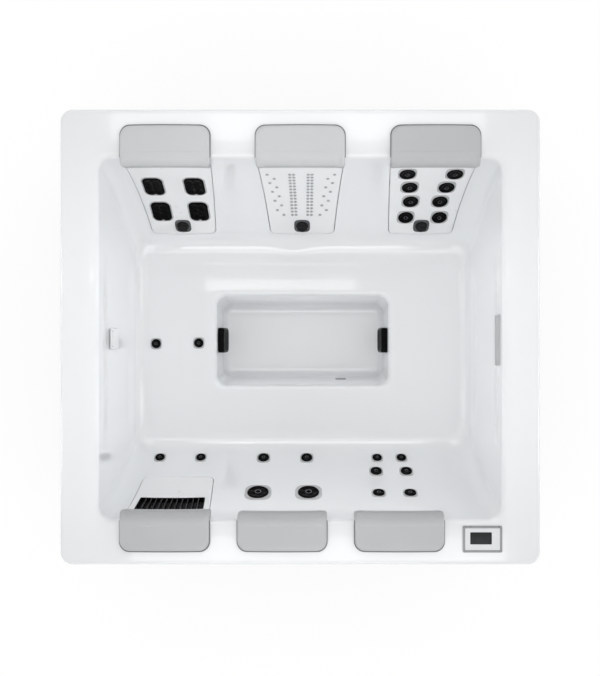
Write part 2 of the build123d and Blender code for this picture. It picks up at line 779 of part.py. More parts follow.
def shell():
    """Moulded shell: rim, basin, footwell, pockets and jet bosses."""
    body = rim_slab()
    body += skin(BASIN, basin_corner, BASIN_DEPTHS)
    body += skin(WELL, well_corner, WELL_DEPTHS)
    for bay in BAYS:
        grow = POCKET_GAP + POCKET_WALL
        body += bay.prism(grow, -bay.back - grow, 0)
    for place, size in jet_places():
        nut = jet_sizes(size)[3]
        body += disc(place, nut + OVERLAP, -SHELL_THICK - JET_BOSS, -OVERLAP)
    body -= hollow(BASIN, basin_corner, BASIN_DEPTHS)
    body -= hollow(WELL, well_corner, WELL_DEPTHS)
    for bay in BAYS:
        body -= bay.prism(POCKET_GAP, -bay.back - POCKET_GAP, PACK_BACK + CUT_EXTRA)
    holes = []
    for place, size in jet_places():
        face, rim, barrel, nut = jet_sizes(size)
        holes.append(disc(place, barrel + HOLE_GAP, -SHELL_THICK - JET_BOSS - OVERLAP, 0))
        holes.append(disc(place, rim + HOLE_GAP, -JET_SINK, CUT_EXTRA))
    for bay in (LEFT_BAY, MIDDLE_BAY, RIGHT_BAY):
        port = bay.plane().offset(-bay.back - PORT_LENGTH)
        holes.append(disc(port, PORT_RADIUS + PORT_GAP, 0, PORT_LENGTH))
    floor = -POCKET_GAP - POCKET_WALL - OVERLAP
    holes.append(disc(cartridge_plane(), housing_radius(), floor, OVERLAP))
    for place in suction_planes():
        holes.append(disc(place, SUCTION_BARREL + HOLE_GAP, -CUT_EXTRA, CUT_EXTRA))
    holes.append(disc(spout_plane(), SPOUT_STEM + HOLE_GAP, -CUT_EXTRA, CUT_EXTRA))
    holes.append(disc(plate_plane(), PLATE_STEM + HOLE_GAP, -CUT_EXTRA, CUT_EXTRA))
    holes.append(disc(inlet_plane(), INLET_STEM + HOLE_GAP, -CUT_EXTRA, CUT_EXTRA))
    tray_x = KEYPAD_WIDTH / 2 - KEYPAD_TRAY
    tray_y = KEYPAD_LENGTH / 2 - KEYPAD_TRAY
    holes.append(block(
        (KEYPAD_X - tray_x - HOLE_GAP, KEYPAD_Y - tray_y - HOLE_GAP, TUB_HEIGHT - CUT_EXTRA),
        (KEYPAD_X + tray_x + HOLE_GAP, KEYPAD_Y + tray_y + HOLE_GAP, TUB_HEIGHT + CUT_EXTRA),
    ))
    return body - holes


def pack_body(bay):
    """Hollow moulded pack: curved face, side walls, back and supply port."""
    body = bay.prism(0, -bay.back, PACK_BACK) - bay.basin_side(PACK_PROUD)
    core = bay.prism(-PACK_SKIN, -bay.back + PACK_SKIN, PACK_BACK)
    body -= core - bay.basin_side(PACK_PROUD - PACK_SKIN)
    port = bay.plane().offset(-bay.back)
    body += disc(port, PORT_RADIUS, -PORT_LENGTH, OVERLAP)
    body -= disc(port, PORT_RADIUS - PACK_SKIN, -PORT_LENGTH - OVERLAP, PACK_SKIN + OVERLAP)
    knob = bay.face_plane(0, KNOB_U, PACK_PROUD)
    body -= disc(knob, KNOB_RADIUS + TURN_GAP, -KNOB_SEAT_SINK, CUT_EXTRA)
    body -= disc(knob, KNOB_STEM + TURN_GAP, -PACK_SKIN * 2, CUT_EXTRA)
    return body


def square_places():
    spots = []
    for x, up in ((SQUARE_UPPER_X, SQUARE_UPPER_U), (SQUARE_LOWER_X, SQUARE_LOWER_U)):
        for sign in (-1, 1):
            spots.append(LEFT_BAY.face_plane(sign * x, up, PACK_PROUD))
    return spots


def round_places():
    spots = []
    for x, up in ROUND_ROWS:
        for sign in (-WALL_SHARE, WALL_SHARE):
            spots.append(RIGHT_BAY.face_plane(sign * x, up * WALL_SHARE, PACK_PROUD))
    return spots


def pack_left():
    body = pack_body(LEFT_BAY)
    outline = RectangleRounded(
        SQUARE_WIDTH + (SQUARE_RIM + HOLE_GAP) * 2,
        SQUARE_HEIGHT + (SQUARE_RIM + HOLE_GAP) * 2,
        SQUARE_ROUND + SQUARE_RIM + HOLE_GAP,
    )
    for place in square_places():
        body -= place.offset(-JET_SINK) * extrude(outline, CUT_EXTRA)
        body -= disc(place, SQUARE_STEM + HOLE_GAP, -PACK_SKIN * 2, CUT_EXTRA)
    return body


def square_jet():
    """Big massage jet: rounded rectangular rim, proud face with a ridge."""
    rim = RectangleRounded(
        SQUARE_WIDTH + SQUARE_RIM * 2, SQUARE_HEIGHT + SQUARE_RIM * 2, SQUARE_ROUND + SQUARE_RIM
    )
    face = RectangleRounded(SQUARE_WIDTH, SQUARE_HEIGHT, SQUARE_ROUND)
    jet = Pos(0, 0, -JET_SINK) * extrude(rim, SQUARE_RIM_PROUD + JET_SINK)
    top = extrude(face, SQUARE_PROUD)
    top = fillet(top.faces().sort_by(Axis.Z)[-1].edges(), JET_FACE_ROUND)
    jet += top
    ridge = SQUARE_HEIGHT - SQUARE_ROUND * 2
    high = SQUARE_PROUD + SQUARE_RIDGE_HIGH
    jet += block(
        (-SQUARE_RIDGE_WIDTH / 2, -ridge / 2, 0), (SQUARE_RIDGE_WIDTH / 2, ridge / 2, high)
    )
    jet += disc(Plane.XY, SQUARE_STEM, -SQUARE_STEM_LENGTH, 0)
    return jet


def pack_left_jets():
    jet = square_jet()
    return [place * jet for place in square_places()]


def spray_spots():
    """Places of the spray holes: two double columns, two zigzag ones."""
    spots = []
    for share in steps(SPRAY_ROWS - 1):
        up = SPRAY_TOP + (SPRAY_LOW - SPRAY_TOP) * share
        middle = SPRAY_INNER_TOP + (SPRAY_INNER_LOW - SPRAY_INNER_TOP) * share
        for x in (middle - SPRAY_PAIR, middle + SPRAY_PAIR):
            spots += [(-x, up), (x, up)]
    for index, share in enumerate(steps(SPRAY_OUTER_COUNT - 1)):
        up = SPRAY_TOP + (SPRAY_LOW - SPRAY_TOP) * share
        middle = SPRAY_OUTER_TOP + (SPRAY_OUTER_LOW - SPRAY_OUTER_TOP) * share
        x = middle + (SPRAY_ZIGZAG if index % 2 == 0 else -SPRAY_ZIGZAG)
        spots += [(-x, up), (x, up)]
    return spots


def pack_middle():
    body = pack_body(MIDDLE_BAY)
    place = MIDDLE_BAY.plane()
    holes = []
    for x, up in spray_spots():
        holes.append(place * Pos(x, up, 0) * extrude(Circle(SPRAY_RADIUS), PACK_BACK))
    return body - holes


def pack_right():
    body = pack_body(RIGHT_BAY)
    for place in round_places():
        body -= disc(place, ROUND_RIM + HOLE_GAP, -JET_SINK, CUT_EXTRA)
        body -= disc(place, ROUND_STEM + HOLE_GAP, -PACK_SKIN * 2, CUT_EXTRA)
    return body


def round_jet():
    """Small massage jet: rim, domed face and a nozzle mouth."""
    points = (
        (0, -ROUND_STEM_LENGTH),
        (ROUND_STEM, -ROUND_STEM_LENGTH),
        (ROUND_STEM, -JET_SINK),
        (ROUND_RIM, -JET_SINK),
        (ROUND_RIM, ROUND_RIM_PROUD / 2),
        (ROUND_FACE + JET_SINK, ROUND_RIM_PROUD),
        (ROUND_FACE, ROUND_RIM_PROUD),
        (ROUND_FACE - JET_FACE_ROUND, ROUND_PROUD),
        (ROUND_NOZZLE * 2, ROUND_PROUD),
        (ROUND_NOZZLE, ROUND_PROUD - JET_FACE_ROUND),
        (ROUND_NOZZLE, ROUND_PROUD - NOZZLE_DEPTH),
        (0, ROUND_PROUD - NOZZLE_DEPTH),
    )
    return turned(Plane.XY, points)


def pack_right_jets():
    jet = round_jet()
    return [place * jet for place in round_places()]


def knob(bay):
    """Diverter knob with a raised grip bar and a stem."""
    low = -KNOB_SEAT_SINK + SEAT_GAP
    cap = disc(Plane.XY, KNOB_RADIUS, low, KNOB_HIGH)
    cap = fillet(cap.faces().sort_by(Axis.Z)[-1].edges(), KNOB_ROUND)
    grip_half = KNOB_RADIUS - KNOB_ROUND
    cap += block(
        (-grip_half, -KNOB_GRIP_WIDTH / 2, 0),
        (grip_half, KNOB_GRIP_WIDTH / 2, KNOB_HIGH + KNOB_GRIP_HIGH),
    )
    cap += disc(Plane.XY, KNOB_STEM, -KNOB_STEM_LENGTH, 0)
    return bay.face_plane(0, KNOB_U, PACK_PROUD) * cap


def jet_body(size):
    """Wall fitting of a jet: rim, barrel, nut and closed tail with two barbs."""
    face, rim, barrel, nut = jet_sizes(size)
    bore = face + TURN_GAP
    back = -SHELL_THICK - JET_BOSS
    tail = barrel * JET_TAIL_SHARE
    points = (
        (0, -JET_BORE_DEPTH),
        (bore, -JET_BORE_DEPTH),
        (bore, JET_RIM_HIGH),
        (bore + (rim - bore) / 2, JET_RIM_HIGH),
        (rim, 0),
        (rim, -JET_SINK),
        (barrel, -JET_SINK),
        (barrel, back),
        (nut, back),
        (nut, back - JET_NUT_HIGH),
        (barrel, back - JET_NUT_HIGH),
        (barrel, -JET_BORE_DEPTH - OVERLAP),
        (tail, -JET_BORE_DEPTH - OVERLAP * 2),
        (tail, -JET_BORE_DEPTH - JET_TAIL),
        (0, -JET_BORE_DEPTH - JET_TAIL),
    )
    body = turned(Plane.XY, points)
    barb_z = -JET_BORE_DEPTH - JET_TAIL + JET_BARB_RADIUS * 2
    reach = tail + JET_BARB_LONG
    body += rod((-reach, 0, barb_z), (reach, 0, barb_z), JET_BARB_RADIUS)
    return body


def jet_bodies():
    return [place * jet_body(size) for place, size in jet_places()]


def jet_face(size):
    """Turning face of a jet with its nozzle mouth."""
    face = size[0]
    low = -JET_FACE_LONG
    mouth = face * JET_NOZZLE_SHARE
    points = (
        (0, low),
        (face, low),
        (face, JET_FACE_PROUD - JET_FACE_ROUND),
        (face - JET_FACE_ROUND, JET_FACE_PROUD),
        (mouth + JET_FACE_ROUND, JET_FACE_PROUD),
        (mouth, JET_FACE_PROUD - JET_FACE_ROUND),
        (mouth, -JET_FACE_LONG / 2),
        (0, -JET_FACE_LONG / 2),
    )
    return turned(Plane.XY, points)


def filter_cover():
    """Front of the filter bay: curved face with a window for the grille."""
    bay = FILTER_BAY
    body = bay.prism(0, -bay.back, PACK_BACK) - bay.basin_side(PACK_PROUD)
    core = bay.prism(-FILTER_SKIN, -bay.back - OVERLAP, PACK_BACK)
    body -= core - bay.basin_side(PACK_PROUD - FILTER_SKIN)
    return body - window_prism(0)


def window_prism(shrink):
    face = trapezoid(
        WINDOW_HALF_TOP - shrink,
        WINDOW_HALF_LOW - shrink,
        WINDOW_TOP - shrink,
        WINDOW_LOW + shrink,
        WINDOW_CORNER,
        FILTER_BOW,
    )
    return FILTER_BAY.plane().offset(-FILTER_BACK) * extrude(face, FILTER_BACK + PACK_BACK)


def filter_grille():
    """Slatted skimmer window that fills the cover's opening."""
    bay = FILTER_BAY
    frame = window_prism(GRILLE_GAP)
    holes = []
    width = (WINDOW_HALF_LOW - GRILLE_FRAME) * 2
    pitch = width / (GRILLE_BARS + 1)
    for index in range(GRILLE_BARS + 1):
        middle = -width / 2 + pitch * (index + 1 / 2)
        half = (pitch - GRILLE_BAR_WIDTH) / 2
        holes.append(block(
            (middle - half, WINDOW_LOW + GRILLE_FRAME - FILTER_BOW, -FILTER_BACK * 2),
            (middle + half, WINDOW_TOP - GRILLE_FRAME, PACK_BACK),
        ))
    frame -= [bay.plane() * hole for hole in holes]
    frame -= bay.basin_side(PACK_PROUD)
    return frame & bay.basin_side(PACK_PROUD - GRILLE_THICK)


def filter_housing():
    """Canister behind the bay, open to it, with an outlet at its closed end."""
    inner = housing_radius()
    outer = inner + HOUSING_WALL
    start = -POCKET_GAP - POCKET_WALL
    end = start - HOUSING_LENGTH
    points = (
        (inner, start),
        (outer + HOUSING_FLANGE, start),
        (outer + HOUSING_FLANGE, start - HOUSING_WALL),
        (outer, start - HOUSING_WALL),
        (outer, end - HOUSING_WALL),
        (HOUSING_OUTLET, end - HOUSING_WALL),
        (HOUSING_OUTLET, end - HOUSING_WALL - HOUSING_OUTLET_LONG),
        (HOUSING_OUTLET - HOUSING_WALL, end - HOUSING_WALL - HOUSING_OUTLET_LONG),
        (HOUSING_OUTLET - HOUSING_WALL, end),
        (inner, end),
    )
    return turned(cartridge_plane(), points)


def filter_cartridge():
    """Pleated cartridge with end caps and a knob to turn it by."""
    low = -POCKET_GAP - POCKET_WALL - HOUSING_LENGTH + SEAT_GAP
    high = low + CARTRIDGE_LENGTH
    pleats = []
    for index in range(PLEAT_COUNT * 2):
        angle = math.pi * index / PLEAT_COUNT
        radius = CARTRIDGE_RADIUS - JET_SINK - (PLEAT_DEPTH if index % 2 else 0)
        pleats.append((radius * math.cos(angle), radius * math.sin(angle)))
    media = make_face(Polyline(*pleats, close=True))
    body = Pos(0, 0, low + CARTRIDGE_CAP / 2) * extrude(media, CARTRIDGE_LENGTH - CARTRIDGE_CAP)
    body += disc(Plane.XY, CARTRIDGE_RADIUS, low, low + CARTRIDGE_CAP)
    body += disc(Plane.XY, CARTRIDGE_RADIUS, high - CARTRIDGE_CAP, high)
    body -= disc(Plane.XY, CARTRIDGE_CORE, low - OVERLAP, high - CARTRIDGE_CAP)
    body += disc(Plane.XY, CARTRIDGE_KNOB, high - OVERLAP, high + CARTRIDGE_KNOB_HIGH)
    return cartridge_plane() * body


def pillow_seat(wall, gap):
    """What a pillow lies on: rim, rolled edge and wall, as a long solid."""
    start = wall.reach(0)
    roll = wall.roll_radius()
    middle = math.radians(45 + wall.lean_top / 2)
    over = roll + PILLOW_ROLL_GAP
    low = PILLOW_DROP * 2
    sweep = wall.sweep_radius() - gap
    away, depth = wall.sweep_centre()

    def on_sweep(drop):
        lean = wall.lean(drop)
        return away + sweep * math.cos(lean), -depth - sweep * math.sin(lean)

    outside = wall.line + PILLOW_WIDTH
    arc_top = (start - over * math.cos(middle), SEAT_GAP - roll + over * math.sin(middle))
    first = on_sweep(WALL_ROLL)
    last = on_sweep(low)
    edges = [
        Line((outside, SEAT_GAP), (start, SEAT_GAP)),
        ThreePointArc((start, SEAT_GAP), arc_top, first),
        ThreePointArc(first, on_sweep((WALL_ROLL + low) / 2), last),
        Line(last, (outside, last[1])),
        Line((outside, last[1]), (outside, SEAT_GAP)),
    ]
    return make_face(Curve() + edges)


def pillow(wall, out, x, reach, gap):
    """Head cushion that lies on the rim and drapes over its inner edge."""
    outer = wall.line + reach
    nose = wall.line - PILLOW_LEAN_OUT
    foot = wall.reach(PILLOW_DROP) - PILLOW_LOW_THICK
    deep = -PILLOW_DROP * 2 / 3
    outline = [
        Line((outer, deep), (outer, PILLOW_EDGE_HIGH)),
        ThreePointArc(
            (outer, PILLOW_EDGE_HIGH),
            (outer - PILLOW_EDGE_IN / 3, PILLOW_HIGH - OVERLAP),
            (outer - PILLOW_EDGE_IN, PILLOW_HIGH),
        ),
        Line((outer - PILLOW_EDGE_IN, PILLOW_HIGH), (nose + PILLOW_NOSE_IN, PILLOW_HIGH)),
        ThreePointArc(
            (nose + PILLOW_NOSE_IN, PILLOW_HIGH),
            (nose + PILLOW_NOSE_IN / 4, PILLOW_HIGH - PILLOW_NOSE_IN / 4),
            (nose, PILLOW_NOSE_HIGH),
        ),
        Line((nose, PILLOW_NOSE_HIGH), (foot, -PILLOW_DROP)),
        Line((foot, -PILLOW_DROP), (wall.line + PILLOW_LEAN_OUT, -PILLOW_DROP)),
        Line((wall.line + PILLOW_LEAN_OUT, -PILLOW_DROP), (outer, deep)),
    ]
    face = make_face(Curve() + outline)
    upright = Plane(origin=(0, 0, TUB_HEIGHT), x_dir=(0, 1, 0), z_dir=(1, 0, 0))
    half_width = PILLOW_WIDTH / 2
    half = math.degrees(PILLOW_WIDTH / PILLOW_CROWN_RADIUS)
    axis = Axis((0, 0, TUB_HEIGHT + PILLOW_HIGH - PILLOW_CROWN_RADIUS), (0, 1, 0))
    body = revolve((upright * face).rotate(axis, -half / 2), axis, half)
    plan_y = nose - SEAT_GAP
    plan = make_face(Polyline(
        (-half_width, plan_y), (half_width, plan_y), (half_width, outer), (-half_width, outer),
        close=True,
    ))
    plan = fillet(plan.vertices().sort_by(Axis.Y)[-2:], PILLOW_OUTER_CORNER)
    plan = fillet(plan.vertices().sort_by(Axis.Y)[:2], PILLOW_INNER_CORNER)
    column = Pos(0, 0, TUB_HEIGHT - PILLOW_DROP * 2) * extrude(plan, PILLOW_DROP * 4)
    body = body & column
    above = TUB_HEIGHT + PILLOW_NOSE_HIGH - OVERLAP
    body = fillet([edge for edge in body.edges() if edge.center().Z > above], PILLOW_EDGE_ROUND)
    seat = upright * pillow_seat(wall, gap)
    seat = Pos(-PILLOW_WIDTH, 0, 0) * extrude(seat, PILLOW_WIDTH * 2)
    body = body - seat
    turn = 0 if out[1] > 0 else 180
    return Pos(x, 0, 0) * Rot(0, 0, turn) * body


def keypad_bezel():
    """Keypad frame with a sunk face and a tray through the rim."""
    place = Pos(KEYPAD_X, KEYPAD_Y, TUB_HEIGHT)
    frame = extrude(RectangleRounded(KEYPAD_WIDTH, KEYPAD_LENGTH, KEYPAD_CORNER), KEYPAD_HIGH)
    frame = chamfer(frame.faces().sort_by(Axis.Z)[-1].edges(), KEYPAD_FACE_SINK)
    wide = KEYPAD_WIDTH - KEYPAD_FRAME * 2
    long = KEYPAD_LENGTH - KEYPAD_FRAME * 2
    sunk = RectangleRounded(wide, long, KEYPAD_CORNER / 2)
    frame -= Pos(0, 0, KEYPAD_HIGH - KEYPAD_FACE_SINK) * extrude(sunk, KEYPAD_HIGH)
    shade = RectangleRounded(
        SCREEN_WIDTH + HOLE_GAP * 2, SCREEN_LENGTH + HOLE_GAP * 2, SCREEN_CORNER + HOLE_GAP
    )
    low = KEYPAD_HIGH - KEYPAD_FACE_SINK - KEYPAD_SHADE_DEPTH
    frame -= Pos(SCREEN_X, SCREEN_Y, low) * extrude(shade, KEYPAD_HIGH)
    tray_x = KEYPAD_WIDTH / 2 - KEYPAD_TRAY
    tray_y = KEYPAD_LENGTH / 2 - KEYPAD_TRAY
    frame += block((-tray_x, -tray_y, -KEYPAD_TRAY_DEPTH), (tray_x, tray_y, 0))
    return place * frame


def keypad_screen():
    low = KEYPAD_HIGH - KEYPAD_FACE_SINK - KEYPAD_SHADE_DEPTH
    glass = RectangleRounded(SCREEN_WIDTH, SCREEN_LENGTH, SCREEN_CORNER)
    place = Pos(KEYPAD_X + SCREEN_X, KEYPAD_Y + SCREEN_Y, TUB_HEIGHT + low)
    return place * extrude(glass, KEYPAD_SHADE_DEPTH)


def wall_skin():
    """What lies behind a fitting's face, to trim it to the wall."""
    return SHELL_THICK + STEM_BEHIND


def water_spout():
    """Waterfall spout on the right wall, a wide slot over a lip."""
    face = RectangleRounded(SPOUT_LENGTH, SPOUT_TALL, SPOUT_ROUND)
    body = extrude(face, SPOUT_PROUD)
    body = fillet(body.faces().sort_by(Axis.Z)[-1].edges(), SPOUT_ROUND / 2)
    slot_up = SPOUT_TALL / 2 - SPOUT_ROUND - SPOUT_SLOT_TALL
    body -= block(
        (-SPOUT_SLOT_LENGTH / 2, slot_up, SPOUT_PROUD - SPOUT_SLOT_DEPTH),
        (SPOUT_SLOT_LENGTH / 2, slot_up + SPOUT_SLOT_TALL, SPOUT_PROUD + OVERLAP),
    )
    body += disc(Plane.XY, SPOUT_STEM, -SHELL_THICK - STEM_BEHIND, 0)
    return spout_plane().offset(SEAT_GAP) * body


def side_fitting():
    """Small plate on the left wall with a slot near its top."""
    face = RectangleRounded(PLATE_WIDTH, PLATE_TALL, PLATE_CORNER)
    body = extrude(face, PLATE_PROUD)
    body = chamfer(body.faces().sort_by(Axis.Z)[-1].edges(), KEYPAD_FACE_SINK)
    body -= block(
        (-PLATE_SLOT_WIDTH / 2, PLATE_SLOT_U - PLATE_SLOT_TALL / 2, PLATE_PROUD - PLATE_SLOT_DEPTH),
        (PLATE_SLOT_WIDTH / 2, PLATE_SLOT_U + PLATE_SLOT_TALL / 2, PLATE_PROUD + OVERLAP),
    )
    body += disc(Plane.XY, PLATE_STEM, -SHELL_THICK - STEM_BEHIND, 0)
    return plate_plane().offset(SEAT_GAP) * body


def footwell_inlet():
    """Slim inlet on the footwell's front wall."""
    face = RectangleRounded(INLET_WIDTH, INLET_TALL, INLET_TALL / 2 - SEAT_GAP)
    body = extrude(face, INLET_PROUD)
    half = INLET_WIDTH / 2 - INLET_STEM
    body -= block(
        (-half, -INLET_SLOT_TALL / 2, INLET_PROUD / 2), (half, INLET_SLOT_TALL / 2, INLET_PROUD * 2)
    )
    body += disc(Plane.XY, INLET_STEM, -SHELL_THICK - STEM_BEHIND, 0)
    return inlet_plane().offset(SEAT_GAP) * body


def suction_covers():
    """Rounded square slotted covers on the footwell's two side walls."""
    outline = RectangleRounded(SUCTION_HALF * 2, SUCTION_HALF * 2, SUCTION_CORNER)
    cover = extrude(outline, SUCTION_HIGH)
    cover = fillet(cover.faces().sort_by(Axis.Z)[-1].edges(), SUCTION_ROUND)
    cover -= disc(Plane.XY, SUCTION_FLANGE + HOLE_GAP, -OVERLAP, SUCTION_FLANGE_HIGH)
    half = SUCTION_HALF - SUCTION_SLOT_MARGIN
    slots = []
    for index in range(SUCTION_SLOTS):
        up = (index - (SUCTION_SLOTS - 1) / 2) * SUCTION_SLOT_STEP
        slots.append(block(
            (-half, up - SUCTION_SLOT_WIDTH / 2, SUCTION_HIGH - SUCTION_SLOT_DEPTH),
            (half, up + SUCTION_SLOT_WIDTH / 2, SUCTION_HIGH + OVERLAP),
        ))
    cover -= slots
    return [place.offset(SEAT_GAP) * cover for place in suction_planes()]


def suction_fittings():
    """Wall fittings behind the suction covers, with nut and pipe tail."""
    back = -SHELL_THICK - OVERLAP
    points = (
        (SUCTION_BORE, SUCTION_FLANGE_HIGH),
        (SUCTION_FLANGE, SUCTION_FLANGE_HIGH),
        (SUCTION_FLANGE, 0),
        (SUCTION_BARREL, 0),
        (SUCTION_BARREL, back),
        (SUCTION_NUT, back),
        (SUCTION_NUT, back - SUCTION_NUT_HIGH),
        (SUCTION_BARREL, back - SUCTION_NUT_HIGH),
        (SUCTION_BARREL, back - SUCTION_NUT_HIGH - STEM_BEHIND),
        (SUCTION_BORE, back - SUCTION_NUT_HIGH - STEM_BEHIND),
    )
    body = turned(Plane.XY, points)
    return [place.offset(SEAT_GAP) * body for place in suction_planes()]


def base_pan():
    """Moulded tray the whole tub stands on, with drain and power holes."""
    outline = RectangleRounded(PANEL_X * 2, PANEL_Y * 2, PAN_CORNER)
    inside = RectangleRounded(
        (PANEL_X - PAN_THICK) * 2, (PANEL_Y - PAN_THICK) * 2, PAN_CORNER - PAN_THICK
    )
    pan = extrude(outline, PAN_HIGH) - Pos(0, 0, PAN_THICK) * extrude(inside, PAN_HIGH)
    drain = (DRAIN_X, -PANEL_Y - OVERLAP, DRAIN_Z), (DRAIN_X, -PANEL_Y + CUT_EXTRA, DRAIN_Z)
    pan -= rod(*drain, DRAIN_BARREL + HOLE_GAP)
    power = (PANEL_X - CUT_EXTRA, POWER_Y, POWER_Z), (PANEL_X + OVERLAP, POWER_Y, POWER_Z)
    return pan - rod(*power, POWER_RADIUS)


def frame_limits():
    return PANEL_X - PANEL_THICK, PANEL_Y - PANEL_THICK


def rail_ring(low, high):
    """Four rails in a ring, from one height to another."""
    x, y = frame_limits()
    outline = Rectangle(x * 2, y * 2) - Rectangle((x - RAIL_WIDE) * 2, (y - RAIL_WIDE) * 2)
    return Pos(0, 0, low) * extrude(outline, high - low)


def under_shell(depth):
    return TUB_HEIGHT - depth - SHELL_THICK


def frame_rails():
    """Top ring, bottom ring and the two beams the footwell stands on."""
    top = under_shell(0)
    rails = [rail_ring(top - RAIL_TOP_TALL, top)]
    rails.append(rail_ring(PAN_THICK, PAN_THICK + RAIL_LOW_TALL))
    floor = under_shell(WELL_DEPTH)
    for sign in (-1, 1):
        rails.append(block(
            (sign * BEAM_X - BEAM_WIDE / 2, -BEAM_LENGTH / 2, PAN_THICK),
            (sign * BEAM_X + BEAM_WIDE / 2, BEAM_LENGTH / 2, floor),
        ))
    return rails


def frame_posts():
    """Posts between the two rings, at the corners and along three sides."""
    x, y = frame_limits()
    x -= RAIL_WIDE / 2
    y -= RAIL_WIDE / 2
    spots = [(sx * x, sy * y) for sx in (-1, 1) for sy in (-1, 1)]
    spots += [(sx * x, sy * SIDE_POST_Y) for sx in (-1, 1) for sy in (-1, 1)]
    spots += [(sx * BACK_POST_X, y) for sx in (-1, 1)]
    low = PAN_THICK + RAIL_LOW_TALL
    high = under_shell(0) - RAIL_TOP_TALL
    half = RAIL_WIDE / 2
    return [block((a - half, b - half, low), (a + half, b + half, high)) for a, b in spots]


def grooved_panel(length, thick):
    """Panel lying along X, its outer face grooved into boards, facing -Y."""
    tall = PANEL_TOP - PAN_HIGH
    pitch = tall / (GROOVE_COUNT + 1)
    points = [(0, 0), (thick, 0), (thick, tall), (0, tall)]
    for index in range(GROOVE_COUNT, 0, -1):
        middle = pitch * index
        half = GROOVE_WIDE / 2
        points += [(0, middle + half), (GROOVE_DEEP, middle + half / 2)]
        points += [(GROOVE_DEEP, middle - half / 2), (0, middle - half)]
    plane = Plane(origin=(-length / 2, 0, PAN_HIGH), x_dir=(0, 1, 0), z_dir=(1, 0, 0))
    return extrude(plane * make_face(Polyline(*points, close=True)), length)


def side_panels():
    length = (PANEL_Y + POST_PROUD - POST_LEG) * 2
    panel = grooved_panel(length, PANEL_THICK)
    right = Pos(PANEL_X, 0, 0) * Rot(0, 0, 90) * panel
    left = Pos(-PANEL_X, 0, 0) * Rot(0, 0, -90) * panel
    return [left, right]


def back_panel():
    length = (PANEL_X + POST_PROUD - POST_LEG) * 2
    return Pos(0, PANEL_Y, 0) * Rot(0, 0, 180) * grooved_panel(length, PANEL_THICK)


def front_panel():
    """Removable service panel with a finger slot."""
    length = (PANEL_X + POST_PROUD - POST_LEG - FRONT_PANEL_GAP) * 2
    panel = grooved_panel(length, PANEL_THICK - SEAT_GAP)
    high = PANEL_TOP - HANDLE_BELOW_TOP
    slot = Pos(0, -OVERLAP, high) * Box(HANDLE_WIDE, (HANDLE_DEPTH + OVERLAP) * 2, HANDLE_TALL)
    panel -= slot
    panel -= block((-length, -OVERLAP, PAN_HIGH - OVERLAP), (length, PANEL_THICK * 2, PAN_HIGH + SEAT_GAP))
    return Pos(0, -PANEL_Y, 0) * panel


def screw_places():
    """Planes of the corner post screws, each facing out of its post."""
    spots = []
    outer_x = PANEL_X + POST_PROUD
    outer_y = PANEL_Y + POST_PROUD
    for sx in (-1, 1):
        for sy in (-1, 1):
            for z in SCREW_HEIGHTS:
                at_side = (sx * outer_x, sy * (outer_y - SCREW_IN), z)
                at_end = (sx * (outer_x - SCREW_IN), sy * outer_y, z)
                spots.append(Plane(origin=at_side, x_dir=(0, 1, 0), z_dir=(sx, 0, 0)))
                spots.append(Plane(origin=at_end, x_dir=(1, 0, 0), z_dir=(0, sy, 0)))
    return spots


def corner_posts():
    """Angle trims over the cabinet's four corners, drilled for screws."""
    tall = PANEL_TOP - PAN_HIGH
    thick = PANEL_THICK + POST_PROUD
    angle = Polyline(
        (0, 0), (0, -POST_LEG), (-thick, -POST_LEG), (-thick, -thick),
        (-POST_LEG, -thick), (-POST_LEG, 0), close=True,
    )
    face = make_face(angle)
    outer = face.vertices().sort_by_distance((0, 0, 0))[0]
    face = fillet(outer, POST_ROUND)
    post = extrude(face, tall)
    holes = [disc(place, SCREW_SHANK + SCREW_GAP, -SCREW_LONG - OVERLAP, OVERLAP) for place in screw_places()]
    posts = []
    outer_x = PANEL_X + POST_PROUD
    outer_y = PANEL_Y + POST_PROUD
    right_back = Pos(outer_x, outer_y, PAN_HIGH) * post
    left_back = mirror(right_back, Plane.YZ)
    for item in (right_back, left_back):
        posts += [item, mirror(item, Plane.XZ)]
    return [item - holes for item in posts]


def panel_screws():
    screws = []
    for place in screw_places():
        head = disc(place, SCREW_HEAD, 0, SCREW_HEAD_HIGH)
        screws.append(head + disc(place, SCREW_SHANK, -SCREW_LONG, OVERLAP / 2))
    return screws


def pump_axis_plane():
    origin = (PUMP_FACE_X, PUMP_Y, PUMP_Z)
    return Plane(origin=origin, x_dir=(0, 1, 0), z_dir=(-1, 0, 0))


